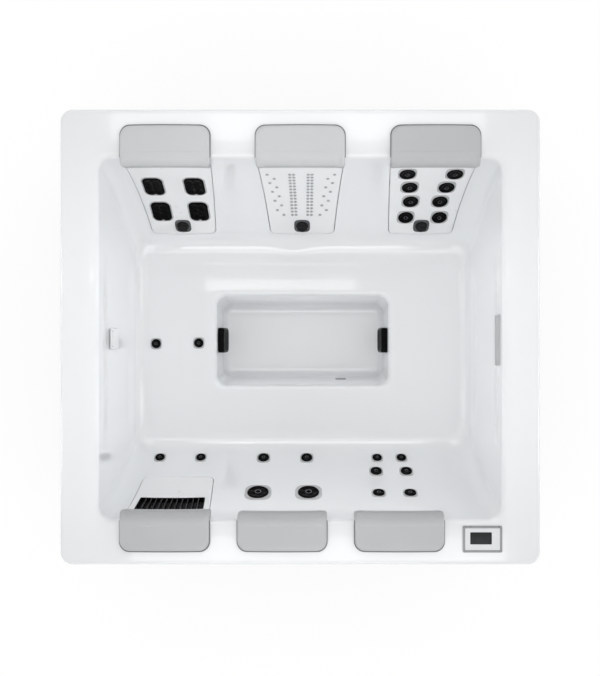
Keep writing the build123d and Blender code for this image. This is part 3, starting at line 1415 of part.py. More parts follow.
def pump_wet_end():
    """Pump chamber with inlet on its axis, outlet on top and a foot."""
    place = pump_axis_plane()
    chamber = disc(place, PUMP_WET_RADIUS, 0, PUMP_WET_LONG)
    chamber += disc(place, PUMP_PIPE, PUMP_WET_LONG - OVERLAP, PUMP_WET_LONG + PUMP_INLET_LONG)
    middle = PUMP_FACE_X - PUMP_WET_LONG / 2
    top = PUMP_Z + PUMP_WET_RADIUS + PUMP_OUTLET_LONG
    chamber += rod((middle, PUMP_Y, PUMP_Z), (middle, PUMP_Y, top), PUMP_PIPE)
    half = PUMP_FOOT_WIDE / 2
    chamber += block(
        (middle - PUMP_FOOT_LONG / 2, PUMP_Y - half, PAN_THICK),
        (middle + PUMP_FOOT_LONG / 2, PUMP_Y + half, PUMP_Z),
    )
    chamber -= disc(place, PUMP_WET_RADIUS - PUMP_WALL, PUMP_WALL, PUMP_WET_LONG - PUMP_WALL)
    chamber -= disc(place, SHAFT_RADIUS + TURN_GAP, -OVERLAP, PUMP_WALL + OVERLAP)
    mouth = PUMP_WET_LONG - PUMP_WALL - OVERLAP
    chamber -= disc(place, PUMP_PORT, mouth, PUMP_WET_LONG + PUMP_INLET_LONG + OVERLAP)
    inner = PUMP_Z + PUMP_WET_RADIUS - PUMP_WALL - OVERLAP
    return chamber - rod((middle, PUMP_Y, inner), (middle, PUMP_Y, top + OVERLAP), PUMP_PORT)


def pump_motor():
    """Ribbed motor on a foot, its shaft reaching into the chamber."""
    place = pump_axis_plane()
    motor = disc(place, MOTOR_RADIUS, -MOTOR_LONG, 0)
    grooves = []
    pitch = MOTOR_LONG / (MOTOR_FINS + 1)
    for index in range(MOTOR_FINS):
        low = -MOTOR_LONG + pitch * (index + 1) - MOTOR_FIN_WIDE / 2
        ring = disc(place, MOTOR_RADIUS + OVERLAP, low, low + MOTOR_FIN_WIDE)
        ring -= disc(place, MOTOR_RADIUS - MOTOR_FIN_DEEP, low - OVERLAP, low + MOTOR_FIN_WIDE + OVERLAP)
        grooves.append(ring)
    motor -= grooves
    start = PUMP_FACE_X + MOTOR_LONG / 2 - MOTOR_FOOT_LONG / 2
    motor += block(
        (start, PUMP_Y - MOTOR_FOOT_WIDE / 2, PAN_THICK),
        (start + MOTOR_FOOT_LONG, PUMP_Y + MOTOR_FOOT_WIDE / 2, PUMP_Z - MOTOR_RADIUS / 2),
    )
    return motor + disc(place, SHAFT_RADIUS, -OVERLAP, SHAFT_LONG)


def pump_impeller():
    """Bladed wheel on the pump shaft."""
    place = pump_axis_plane()
    low = IMPELLER_OFF
    wheel = disc(place, IMPELLER_RADIUS, low, low + IMPELLER_DISC)
    wheel += disc(place, IMPELLER_HUB, low, low + IMPELLER_DISC + IMPELLER_BLADE_LONG)
    blades = []
    for index in range(IMPELLER_BLADES):
        blade = block(
            (IMPELLER_HUB / 2, -IMPELLER_BLADE_THICK / 2, low + IMPELLER_DISC / 2),
            (IMPELLER_RADIUS - OVERLAP, IMPELLER_BLADE_THICK / 2, low + IMPELLER_DISC + IMPELLER_BLADE_LONG),
        )
        blades.append(place * Rot(0, 0, 360 * index / IMPELLER_BLADES) * blade)
    wheel += blades
    return wheel - disc(place, SHAFT_RADIUS + SHAFT_GAP, 0, SHAFT_LONG * 2)


def circulation_pump():
    """Small always-on pump with a wider head and a foot."""
    start = CIRC_X
    head_end = start - CIRC_HEAD_LONG
    end = head_end - CIRC_LONG
    z = PAN_THICK + CIRC_FOOT
    body = rod((start, CIRC_Y, z), (head_end, CIRC_Y, z), CIRC_HEAD_RADIUS)
    body += rod((start, CIRC_Y, z), (end, CIRC_Y, z), CIRC_RADIUS)
    middle = start - CIRC_HEAD_LONG / 2
    top = z + CIRC_HEAD_RADIUS + CIRC_HEAD_LONG / 2
    body += rod((middle, CIRC_Y, z), (middle, CIRC_Y, top), HEADER_STUB)
    half = CIRC_RADIUS - HEADER_STUB
    return body + block((end + HEADER_STUB, CIRC_Y - half, PAN_THICK), (head_end, CIRC_Y + half, z))


def heater():
    """Heater tube with a union at each end, on two saddles."""
    ends = (HEATER_X - HEATER_LONG / 2, HEATER_X + HEATER_LONG / 2)
    body = rod((ends[0], HEATER_Y, HEATER_Z), (ends[1], HEATER_Y, HEATER_Z), HEATER_RADIUS)
    for end, sign in zip(ends, (1, -1)):
        inner = end + sign * HEATER_UNION_LONG
        body += rod((min(end, inner), HEATER_Y, HEATER_Z), (max(end, inner), HEATER_Y, HEATER_Z), HEATER_UNION)
        saddle = end + sign * HEATER_UNION_LONG * 2
        body += block(
            (saddle - HEATER_FOOT / 2, HEATER_Y - HEATER_FOOT, PAN_THICK),
            (saddle + HEATER_FOOT / 2, HEATER_Y + HEATER_FOOT, HEATER_Z),
        )
    hollow_run = (ends[0] - OVERLAP, HEATER_Y, HEATER_Z), (ends[1] + OVERLAP, HEATER_Y, HEATER_Z)
    return body - rod(*hollow_run, PIPE_RADIUS)


def control_box():
    """Electronics box, open to the front under its lid."""
    low = (BOX_X - BOX_WIDE / 2, BOX_Y - BOX_DEEP / 2, PAN_THICK)
    high = (BOX_X + BOX_WIDE / 2, BOX_Y + BOX_DEEP / 2, PAN_THICK + BOX_TALL)
    inner_low = (low[0] + BOX_WALL, low[1] - OVERLAP, low[2] + BOX_WALL)
    inner_high = (high[0] - BOX_WALL, high[1] - BOX_WALL, high[2] - BOX_WALL)
    return block(low, high) - block(inner_low, inner_high)


def control_box_lid():
    front = BOX_Y - BOX_DEEP / 2
    lid = block(
        (BOX_X - BOX_WIDE / 2, front - BOX_LID, PAN_THICK),
        (BOX_X + BOX_WIDE / 2, front, PAN_THICK + BOX_TALL),
    )
    return fillet(lid.edges().filter_by(Axis.Y), BOX_LID)


def pipe_run(points, radius, bend):
    """Pipe along a path of straight runs joined by round bends."""
    path = FilletPolyline(*points, radius=bend)
    start = Plane(origin=path @ 0, z_dir=path % 0)
    return sweep(start * Circle(radius), path=path)


def supply_pipes():
    """Suction pipes to both pumps, and the riser to the header over the bay."""
    inlet_x = PUMP_FACE_X - PUMP_WET_LONG - PUMP_INLET_LONG
    circ_z = PAN_THICK + CIRC_FOOT
    ends = ((inlet_x, PUMP_Y, PUMP_Z), (CIRC_X, CIRC_Y, circ_z))
    pipes = []
    for place, (end_x, end_y, end_z) in zip(suction_planes(), ends):
        tail = SHELL_THICK + OVERLAP + SUCTION_NUT_HIGH + STEM_BEHIND - SEAT_GAP
        start = place.origin - place.z_dir * tail
        long = (SUCTION_RUN_X - abs(start.X)) / abs(place.z_dir.X)
        turn = start - place.z_dir * long
        points = [tuple(start), tuple(turn), (turn.X, end_y, end_z), (end_x, end_y, end_z)]
        pipes.append(pipe_run(points, PIPE_RADIUS, PIPE_BEND))
    middle = PUMP_FACE_X - PUMP_WET_LONG / 2
    low = PUMP_Z + PUMP_WET_RADIUS + PUMP_OUTLET_LONG
    riser = pipe_run(
        [(middle, PUMP_Y, low), (middle, PUMP_Y, HEADER_Z), (middle, HEADER_Y, HEADER_Z)],
        PIPE_RADIUS, HEADER_Z - low - OVERLAP,
    )
    header = rod((HEADER_LOW_X, HEADER_Y, HEADER_Z), (HEADER_HIGH_X, HEADER_Y, HEADER_Z), PIPE_RADIUS)
    header += riser
    for x in [item * WIDTH_SHARE for item in HEADER_STUBS]:
        end = HEADER_Z + PIPE_RADIUS + HEADER_STUB_LONG
        header += rod((x, HEADER_Y, HEADER_Z), (x, HEADER_Y, end), HEADER_STUB)
    return pipes + [header]


def drain_body():
    """Drain valve: flange and spigot outside the pan, body inside it."""
    face = -PANEL_Y
    body = rod((DRAIN_X, face - DRAIN_FLANGE_HIGH, DRAIN_Z), (DRAIN_X, face, DRAIN_Z), DRAIN_FLANGE)
    tip = face - DRAIN_FLANGE_HIGH - DRAIN_SPIGOT_LONG
    body += rod((DRAIN_X, tip, DRAIN_Z), (DRAIN_X, face, DRAIN_Z), DRAIN_SPIGOT)
    inner = face + PAN_THICK
    end = inner + DRAIN_BODY_LONG
    body += rod((DRAIN_X, face, DRAIN_Z), (DRAIN_X, end, DRAIN_Z), DRAIN_BARREL)
    body += rod((DRAIN_X, inner, DRAIN_Z), (DRAIN_X, end, DRAIN_Z), DRAIN_BODY)
    body -= rod((DRAIN_X, tip - OVERLAP, DRAIN_Z), (DRAIN_X, end + OVERLAP, DRAIN_Z), DRAIN_BORE)
    middle = inner + DRAIN_BODY_LONG / 2
    low = DRAIN_Z + DRAIN_BORE + OVERLAP
    return body + rod((DRAIN_X, middle, low), (DRAIN_X, middle, DRAIN_Z + DRAIN_BODY + DRAIN_STEM_HIGH), DRAIN_STEM)


def drain_handle():
    """Quarter-turn lever on the drain valve's stem."""
    middle = -PANEL_Y + PAN_THICK + DRAIN_BODY_LONG / 2
    low = DRAIN_Z + DRAIN_BODY + SEAT_GAP
    high = low + DRAIN_STEM_HIGH
    hub = rod((DRAIN_X, middle, low), (DRAIN_X, middle, high), DRAIN_HUB)
    hub += block(
        (DRAIN_X, middle - DRAIN_HANDLE_WIDE / 2, high - DRAIN_HANDLE_THICK),
        (DRAIN_X + DRAIN_HANDLE_LONG, middle + DRAIN_HANDLE_WIDE / 2, high),
    )
    gap = SHAFT_GAP
    return hub - rod((DRAIN_X, middle, low - OVERLAP), (DRAIN_X, middle, high + OVERLAP), DRAIN_STEM + gap)


def save(name, shape):
    """Write one node as one STEP file."""
    if isinstance(shape, list):
        shape = Compound(children=[item for item in shape])
    export_step(shape, f"parts/{name}.step")


def main():
    os.makedirs("parts", exist_ok=True)
    save("shell", shell())
    save("base_pan", base_pan())
    save("frame_rails", frame_rails())
    save("frame_posts", frame_posts())
    save("side_panels", side_panels())
    save("back_panel", back_panel())
    save("front_panel", front_panel())
    save("corner_posts", corner_posts())
    save("panel_screws", panel_screws())
    save("pack_left", pack_left())
    save("pack_left_jets", pack_left_jets())
    save("pack_middle", pack_middle())
    save("pack_right", pack_right())
    save("pack_right_jets", pack_right_jets())
    for name, bay in (("left", LEFT_BAY), ("middle", MIDDLE_BAY), ("right", RIGHT_BAY)):
        save(f"knob_{name}", knob(bay))
    save("jet_bodies", jet_bodies())
    for index, (place, size) in enumerate(jet_places()):
        save(f"jet_face_{index + 1}", place * jet_face(size))
    save("filter_cover", filter_cover())
    save("filter_grille", filter_grille())
    save("filter_housing", filter_housing())
    save("filter_cartridge", filter_cartridge())
    pack_gap = PACK_PROUD + PILLOW_WALL_GAP
    for name, x in zip(("left", "middle", "right"), PILLOW_BACK_X):
        place = x * WIDTH_SHARE
        save(f"pillow_back_{name}", pillow(BACK, TO_BACK, place, PILLOW_REACH_BACK, pack_gap))
    gaps = (pack_gap, PILLOW_WALL_GAP, PILLOW_WALL_GAP)
    for name, x, gap in zip(("left", "middle", "right"), PILLOW_FRONT_X, gaps):
        place = x * WIDTH_SHARE
        save(f"pillow_front_{name}", pillow(FRONT, TO_FRONT, place, PILLOW_REACH_FRONT, gap))
    save("keypad_bezel", keypad_bezel())
    save("keypad_screen", keypad_screen())
    save("water_spout", water_spout())
    save("side_fitting", side_fitting())
    save("footwell_inlet", footwell_inlet())
    save("suction_covers", suction_covers())
    save("suction_fittings", suction_fittings())
    save("pump_wet_end", pump_wet_end())
    save("pump_motor", pump_motor())
    save("pump_impeller", pump_impeller())
    save("circulation_pump", circulation_pump())
    save("heater", heater())
    save("control_box", control_box())
    save("control_box_lid", control_box_lid())
    save("supply_pipes", supply_pipes())
    save("drain_body", drain_body())
    save("drain_handle", drain_handle())


if __name__ == "__main__":
    main()
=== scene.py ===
"""Acrylic hot tub seen from above: shell, jet packs, pillows, fittings and cabinet."""

import logging
import math
from dataclasses import dataclass, field, replace
from enum import Enum

import bmesh
import bpy
import numpy as np
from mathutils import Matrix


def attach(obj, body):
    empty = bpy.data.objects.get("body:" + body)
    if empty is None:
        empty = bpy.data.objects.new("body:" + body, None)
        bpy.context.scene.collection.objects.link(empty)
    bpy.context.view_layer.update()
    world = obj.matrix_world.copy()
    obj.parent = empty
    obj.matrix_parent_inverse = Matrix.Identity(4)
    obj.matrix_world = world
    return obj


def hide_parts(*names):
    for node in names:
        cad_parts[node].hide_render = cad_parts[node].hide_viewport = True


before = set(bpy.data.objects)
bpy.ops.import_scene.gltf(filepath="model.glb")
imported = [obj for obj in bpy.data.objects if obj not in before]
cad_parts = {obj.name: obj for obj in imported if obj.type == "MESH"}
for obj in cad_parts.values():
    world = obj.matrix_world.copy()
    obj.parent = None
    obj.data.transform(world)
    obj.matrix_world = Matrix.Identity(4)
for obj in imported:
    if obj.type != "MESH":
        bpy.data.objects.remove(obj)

Array = np.ndarray
log = logging.getLogger("hot_tub")
MM = 0.001
HEIGHT = 914.0
HALF_X = 1120.0
HALF_Y = 1062.5
SEAT = 610.0
WELL = 845.0


# ---------------------------------------------------------------- finishes


class Pattern(Enum):
    """How the fine relief of a finish runs."""

    WAVES = "slow waves of pressed acrylic"
    PEBBLE = "fine even pebbling of moulded plastic"
    HIDE = "small cells and creases of vinyl hide"
    GRAIN = "long grain of a board"
    BRUSHED = "fine scratches of turned metal"


@dataclass(frozen=True)
class Finish:
    """A surface finish: two close colours in soft patches, gloss and a fine relief.

    Args:
        name: the material's name.
        colour: main colour, linear.
        second: colour of the patches, linear.
        roughness: middle roughness.
        spread: how far the roughness strays from its middle.
        pattern: kind of relief.
        size: size of one grain of the relief, in millimetres.
        relief: height of the relief, in millimetres.
        patch: size of the colour patches, in millimetres.
        stretch: scale of the pattern along x, y and z.
        metal: metallic share.
        coat: clear coat weight.
        sheen: weight of the velvet sheen.
        level: specular level.
        painted_shade: painted shade; where along y the colour starts to darken, where it is
            darkest, and its share there.
    """

    name: str
    colour: tuple[float, float, float]
    second: tuple[float, float, float]
    roughness: float
    spread: float = 0.04
    pattern: Pattern = Pattern.PEBBLE
    size: float = 3.0
    relief: float = 0.05
    patch: float = 160.0
    stretch: tuple[float, float, float] = (1.0, 1.0, 1.0)
    metal: float = 0.0
    coat: float = 0.0
    sheen: float = 0.0
    level: float = 0.5
    painted_shade: tuple[float, float, float] | None = None

    def material(self) -> bpy.types.Material:
        """The finish as a node material, made once.

        The patches are noise on object coordinates that mixes the two colours and
        shifts the roughness; the relief is a finer noise or cell pattern under a bump.

        Returns:
            The material.
        """
        found = bpy.data.materials.get(self.name)
        if found:
            return found
        made = bpy.data.materials.new(self.name)
        made.use_nodes = True
        nodes, links = made.node_tree.nodes, made.node_tree.links
        nodes.clear()
        out = nodes.new("ShaderNodeOutputMaterial")
        shader = nodes.new("ShaderNodeBsdfPrincipled")
        links.new(shader.outputs["BSDF"], out.inputs["Surface"])
        shader.inputs["Metallic"].default_value = self.metal
        shader.inputs["Coat Weight"].default_value = self.coat
        shader.inputs["Coat Roughness"].default_value = 0.03
        shader.inputs["Sheen Weight"].default_value = self.sheen
        shader.inputs["Specular IOR Level"].default_value = self.level
        where = nodes.new("ShaderNodeTexCoord")
        turned = nodes.new("ShaderNodeMapping")
        turned.inputs["Scale"].default_value = self.stretch
        links.new(where.outputs["Object"], turned.inputs["Vector"])
        patches = nodes.new("ShaderNodeTexNoise")
        patches.inputs["Scale"].default_value = 1000 / self.patch
        patches.inputs["Detail"].default_value = 4
        links.new(turned.outputs["Vector"], patches.inputs["Vector"])
        share = self.ranged(nodes, links, patches.outputs["Fac"], 0.3, 0.7, 0, 1)
        mix = nodes.new("ShaderNodeMix")
        mix.data_type = "RGBA"
        mix.inputs["A"].default_value = (*self.colour, 1)
        mix.inputs["B"].default_value = (*self.second, 1)
        links.new(share, mix.inputs["Factor"])
        colour = mix.outputs["Result"]
        # Painted shade: the colour is scaled down along object y, darkest at the given end.
        if self.painted_shade:
            start, end, least = self.painted_shade
            apart = nodes.new("ShaderNodeSeparateXYZ")
            links.new(where.outputs["Object"], apart.inputs["Vector"])
            shade_share = self.ranged(nodes, links, apart.outputs["Y"], start * MM, end * MM, 1, least)
            scaled = nodes.new("ShaderNodeVectorMath")
            scaled.operation = "SCALE"
            links.new(colour, scaled.inputs[0])
            links.new(shade_share, scaled.inputs["Scale"])
            colour = scaled.outputs["Vector"]
        links.new(colour, shader.inputs["Base Color"])
        low, high = self.roughness - self.spread, self.roughness + self.spread
        gloss = self.ranged(nodes, links, patches.outputs["Fac"], 0.3, 0.7, low, high)
        links.new(gloss, shader.inputs["Roughness"])
        bump = nodes.new("ShaderNodeBump")
        bump.inputs["Strength"].default_value = 1.0
        bump.inputs["Distance"].default_value = self.relief * MM
        links.new(self.relief_height(nodes, links, turned), bump.inputs["Height"])
        links.new(bump.outputs["Normal"], shader.inputs["Normal"])
        return made

    def relief_height(self, nodes, links, turned) -> bpy.types.NodeSocket:
        """Height of the relief: cells for hide, otherwise noise, finer for pebbles.

        Args:
            nodes: the material's nodes.
            links: its links.
            turned: the mapping node that gives the coordinates.

        Returns:
            The socket with the height.
        """
        if self.pattern is Pattern.HIDE:
            cells = nodes.new("ShaderNodeTexVoronoi")
            cells.feature = "DISTANCE_TO_EDGE"
            cells.inputs["Scale"].default_value = 1000 / self.size
            links.new(turned.outputs["Vector"], cells.inputs["Vector"])
            return self.ranged(nodes, links, cells.outputs["Distance"], 0, 0.25, 0, 1)
        noise = nodes.new("ShaderNodeTexNoise")
        noise.inputs["Scale"].default_value = 1000 / self.size
        noise.inputs["Detail"].default_value = 0 if self.pattern is Pattern.WAVES else 3
        links.new(turned.outputs["Vector"], noise.inputs["Vector"])
        return noise.outputs["Fac"]

    @staticmethod
    def ranged(nodes, links, source, low, high, first, last) -> bpy.types.NodeSocket:
        """A socket's value carried from one range to another, clamped.

        Args:
            nodes: the material's nodes.
            links: its links.
            source: the socket that is carried.
            low: value that becomes first.
            high: value that becomes last.
            first: start of the new range.
            last: end of the new range.

        Returns:
            The socket with the new value.
        """
        node = nodes.new("ShaderNodeMapRange")
        node.inputs["From Min"].default_value = low
        node.inputs["From Max"].default_value = high
        node.inputs["To Min"].default_value = first
        node.inputs["To Max"].default_value = last
        links.new(source, node.inputs["Value"])
        return node.outputs["Result"]


def grey(level: float, warm: float = 0.0) -> tuple[float, float, float]:
    """A grey of a linear level, slightly warm or cool."""
    return (level * (1 + warm), level, level * (1 - warm))


ACRYLIC = Finish(
    "acrylic", grey(0.868, -0.016), grey(0.858, -0.016), 0.1, 0.015, Pattern.WAVES, 90, 0.25,
    420, coat=1.0,
)
PACK_PLASTIC = Finish(
    "pack_plastic", grey(0.86, -0.012), grey(0.845, -0.012), 0.3, 0.03, Pattern.PEBBLE, 1.2,
    0.012, 90, coat=0.1,
)
VINYL = Finish(
    "pillow_vinyl", grey(0.6, -0.02), grey(0.59, -0.02), 0.4, 0.04, Pattern.HIDE, 1.6, 0.03,
    140, sheen=0.05,
)
# Painted shade: a darker copy of the pillow vinyl for the front row and the right back pillow.
VINYL_PAINTED_SHADE = Finish(
    "pillow_vinyl_shade", grey(0.5, -0.018), grey(0.49, -0.018), 0.4, 0.04, Pattern.HIDE, 1.6,
    0.03, 140, sheen=0.05,
)
# Painted shade: darker vinyl on the pillow's nose, where it turns down and away from the light.
VINYL_NOSE_SHADE = Finish(
    "pillow_vinyl_band", grey(0.42, -0.016), grey(0.405, -0.016), 0.42, 0.04, Pattern.HIDE, 1.6,
    0.03, 140,
)
# Painted shade: near-black cord colour that stands for the shade along the pillows' outer edges.
VINYL_EDGE_SHADE = Finish(
    "pillow_vinyl_edge", grey(0.2, -0.015), grey(0.17, -0.015), 0.45, 0.04, Pattern.HIDE, 1.6,
    0.03, 140,
)
# Painted shade: near-black plate colour that shows as a dark outline round the pillows.
OUTLINE_SHADE = Finish(
    "pillow_outline_shade", grey(0.16, -0.01), grey(0.13, -0.01), 0.5, 0.05, Pattern.PEBBLE, 1.4, 0.03,
    60,
)
JET_BLACK = Finish(
    "black_plastic", grey(0.0022, -0.05), grey(0.0034, -0.05), 0.26, 0.06, Pattern.PEBBLE, 1.0,
    0.02, 20, level=0.04,
)
# Dark grey: the filter's slats have it; in the grommet holes and the spout's slot it is painted shade.
JET_DARK = Finish(
    "dark_plastic", grey(0.03, -0.05), grey(0.045, -0.05), 0.3, 0.05, Pattern.PEBBLE, 1.0,
    0.02, 20, level=0.4,
)
KNOB_BLACK = Finish(
    "knob_gloss", grey(0.003, -0.05), grey(0.005, -0.05), 0.07, 0.02, Pattern.WAVES, 14, 0.02,
    20, level=0.2,
)
KNOB_PLATE = Finish(
    "knob_plate_gloss", grey(0.1, -0.05), grey(0.08, -0.05), 0.16, 0.03, Pattern.WAVES, 18,
    0.02, 20, level=0.5,
)
NOZZLE = Finish(
    "nozzle_grey", grey(0.24, -0.04), grey(0.2, -0.04), 0.24, 0.04, Pattern.PEBBLE, 1.0, 0.01,
    12, level=0.4,
)
TRIM_GREY = Finish(
    "trim_grey", grey(0.52, -0.015), grey(0.48, -0.015), 0.26, 0.05, Pattern.BRUSHED, 1.5, 0.01,
    30, coat=0.3,
)
FITTING = Finish(
    "fitting_plastic", grey(0.52, -0.02), grey(0.49, -0.02), 0.3, 0.05, Pattern.PEBBLE, 1.2, 0.015,
    40, coat=0.15,
)
GROMMET = Finish(
    "grommet_grey", grey(0.46, -0.02), grey(0.42, -0.02), 0.3, 0.05, Pattern.PEBBLE, 1.2, 0.015,
    20, coat=0.15,
)
KEYPAD_FACE = Finish(
    "keypad_face", grey(0.8, -0.02), grey(0.78, -0.02), 0.34, 0.04, Pattern.PEBBLE, 0.9, 0.01,
    30,
)
KEYPAD_FRAME = Finish(
    "keypad_frame", grey(0.3, -0.02), grey(0.28, -0.02), 0.3, 0.04, Pattern.BRUSHED, 1.2,
    0.01, 30, metal=0.5,
)
SCREEN = Finish(
    "screen_glass", grey(0.022, -0.06), grey(0.03, -0.06), 0.12, 0.03, Pattern.WAVES, 20, 0.01,
    30, level=0.12,
)
BOARD = Finish(
    "cabinet_board", grey(0.035, 0.0), grey(0.05, -0.03), 0.62, 0.08, Pattern.GRAIN, 3.0, 0.18,
    60, stretch=(0.06, 0.06, 1.0),
)
TRIM_BLACK = Finish(
    "cabinet_trim", grey(0.012, -0.02), grey(0.018, -0.02), 0.45, 0.06, Pattern.PEBBLE, 1.4,
    0.05, 70,
)
TIMBER = Finish(
    "frame_timber", (0.52, 0.36, 0.2), (0.42, 0.27, 0.14), 0.7, 0.08, Pattern.GRAIN, 4.0, 0.2,
    45, stretch=(0.1, 1.0, 1.0),
)
STEEL = Finish(
    "screw_steel", grey(0.45), grey(0.38), 0.3, 0.06, Pattern.BRUSHED, 0.8, 0.01, 12, metal=1.0,
)
PIPE = Finish("pipe_white", grey(0.7), grey(0.66), 0.34, 0.05, Pattern.PEBBLE, 2.0, 0.02, 60)
MEDIA = Finish(
    "filter_cloth", grey(0.72, 0.01), grey(0.64, 0.02), 0.8, 0.08, Pattern.HIDE, 1.0, 0.08, 30,
)
PUMP = Finish("pump_black", grey(0.02), grey(0.03), 0.42, 0.06, Pattern.PEBBLE, 1.6, 0.04, 60)
MOTOR = Finish(
    "motor_paint", grey(0.06, -0.05), grey(0.08, -0.05), 0.4, 0.06, Pattern.PEBBLE, 2.2, 0.06,
    50, metal=0.2,
)
HEATER = Finish(
    "heater_shell", grey(0.55), grey(0.48), 0.28, 0.06, Pattern.BRUSHED, 1.0, 0.02, 40,
    metal=1.0,
)
BOX = Finish("box_grey", grey(0.3, -0.02), grey(0.27, -0.02), 0.5, 0.06, Pattern.PEBBLE, 2.0, 0.04, 60)
BRASS = Finish(
    "brass_metal", (0.56, 0.4, 0.16), (0.46, 0.32, 0.12), 0.32, 0.06, Pattern.BRUSHED, 1.0,
    0.015, 20, metal=1.0,
)


# ------------------------------------------------------------- mathematics


def eased(low: float, high: float, value: Array) -> Array:
    """Share from 0 at low to 1 at high, as 3t squared less 2t cubed."""
    share = np.clip((value - low) / (high - low), 0, 1)
    return share * share * (3 - 2 * share)


def bell(value: Array, low: float, high: float, soft: float) -> Array:
    """1 between low and high, easing to 0 over soft at both ends, inside the range."""
    return eased(low, low + soft, value) * (1 - eased(high - soft, high, value))


@dataclass(frozen=True)
class Wall:
    """Section of a basin wall that leans in on its way down: roll, long sweep, cove.

    Args:
        line: distance from the middle where the roll ends.
        lean_top: lean from the vertical there, in degrees.
        lean_low: lean where the cove starts.
        top: depth of the wall's top below the rim.
        roll: height of the rolled edge.
        cove: height of the cove.
        bottom: depth of the wall's foot.
        shoulder: half width of the roll, drawn out as an ellipse; 0 keeps it round.
    """

    line: float
    lean_top: float
    lean_low: float
    top: float
    roll: float
    cove: float
    bottom: float
    shoulder: float = 0.0

    def radii(self) -> tuple[float, float, float]:
        """Radii of the roll, the sweep and the cove, from what each has to turn."""
        low = math.sin(math.radians(self.lean_top))
        high = math.sin(math.radians(self.lean_low))
        long = self.bottom - self.cove - self.top - self.roll
        return self.roll / (1 - low), long / (high - low), self.cove / (1 - high)

    def lean(self, depth: Array) -> Array:
        """Lean at each depth: its sine changes evenly along each of the three arcs.

        Args:
            depth: depths below the rim.

        Returns:
            Angles from the vertical, in radians.
        """
        low = math.sin(math.radians(self.lean_top))
        high = math.sin(math.radians(self.lean_low))
        roll, sweep, cove = self.radii()
        depth = np.asarray(depth, float)
        sine = np.where(
            depth < self.top + self.roll,
            (self.top + roll - depth) / roll,
            np.where(
                depth < self.bottom - self.cove,
                low + (depth - self.top - self.roll) / sweep,
                high + (depth - self.bottom + self.cove) / cove,
            ),
        )
        return np.arcsin(np.clip(sine, -1, 1))

    def reach(self, depth: Array) -> Array:
        """Distance from the middle at each depth: a radius times a cosine difference.

        Args:
            depth: depths below the rim.

        Returns:
            Distances from the tub's middle.
        """
        depth = np.asarray(depth, float)
        cosine = np.cos(self.lean(depth))
        top = math.cos(math.radians(self.lean_top))
        low = math.cos(math.radians(self.lean_low))
        roll, sweep, cove = self.radii()
        rolled = self.line - roll * (cosine - top)
        if self.shoulder:
            rolled = self.drawn_out(depth)
        swept = self.line - sweep * (top - cosine)
        coved = self.line - sweep * (top - low) - cove * (low - cosine)
        lower = np.where(depth < self.bottom - self.cove, swept, coved)
        return np.where(depth < self.top + self.roll, rolled, lower)

    def drawn_out(self, depth: Array) -> Array:
        """The roll as part of an ellipse that is flat at the rim and meets the wall.

        Args:
            depth: depths below the rim.

        Returns:
            Distances from the middle within the roll.
        """
        slope = 1 / math.tan(math.radians(self.lean_top))
        end = 1.3
        for _ in range(20):
            tall = self.roll / (1 - math.cos(end))
            end = math.atan(self.shoulder / tall * slope)
        tall = self.roll / (1 - math.cos(end))
        turn = np.arccos(np.clip(1 - (depth - self.top) / tall, -1, 1))
        return self.line + self.shoulder * (math.sin(end) - np.sin(turn))

    def sweep_centre(self) -> tuple[float, float]:
        """Centre of the long sweep: distance from the middle, and depth."""
        angle = math.radians(self.lean_top)
        sweep = self.radii()[1]
        deep = self.top + self.roll - sweep * math.sin(angle)
        return self.line - sweep * math.cos(angle), deep


SIDE_WALL = Wall(944, 3, 6, 0, 22, 50, SEAT, 48)
BACK_WALL = Wall(833, 15, 41, 0, 22, 74, SEAT)
FRONT_WALL = Wall(852, 9, 36, 0, 22, 74, SEAT)
WELL_SIDE = Wall(470, 5, 5.2, SEAT, 22, 46, WELL)
WELL_BACK = Wall(226, 12, 12.2, SEAT, 22, 46, WELL)
WELL_FRONT = Wall(258, 12, 12.2, SEAT, 22, 46, WELL)
TO_BACK = (0, 1)
TO_FRONT = (0, -1)
TO_RIGHT = (1, 0)
TO_LEFT = (-1, 0)


@dataclass(frozen=True)
class Place:
    """A flat spot: across, up and out of it are unit vectors, its origin in millimetres."""

    origin: Array
    across: Array
    up: Array
    out: Array

    def put(self, local: Array) -> Array:
        """Points of the spot's own frame carried to the tub's: origin plus three steps."""
        x, y, z = local[..., 0:1], local[..., 1:2], local[..., 2:3]
        return self.origin + x * self.across + y * self.up + z * self.out

    def moved(self, x: float, y: float, z: float) -> "Place":
        """The same frame with its origin shifted along its own directions."""
        origin = self.put(np.array([x, y, z], float))
        return Place(origin, self.across, self.up, self.out)


def tilted(out: tuple, away: float, along: float, depth: float, lean: float) -> Place:
    """Spot on a wall that leans back from the basin.

    Args:
        out: flat direction from the middle to the wall.
        away: distance from the middle.
        along: position along the wall.
        depth: depth below the rim.
        lean: angle from the vertical, in radians.

    Returns:
        The spot, facing into the basin.
    """
    flat = math.cos(lean)
    x = out[0] * away + abs(out[1]) * along
    y = out[1] * away + abs(out[0]) * along
    normal = np.array([-out[0] * flat, -out[1] * flat, math.sin(lean)])
    across = np.array([out[1], -out[0], 0.0])
    return Place(np.array([x, y, HEIGHT - depth]), across, np.cross(normal, across), normal)


def on_wall(wall: Wall, out: tuple, along: float, depth: float) -> Place:
    """Spot square to a wall at a depth."""
    return tilted(out, float(wall.reach(depth)), along, depth, float(wall.lean(depth)))


def level_place(x: float, y: float, z: float) -> Place:
    """Level spot facing up."""
    return Place(np.array([x, y, z], float), *np.eye(3))


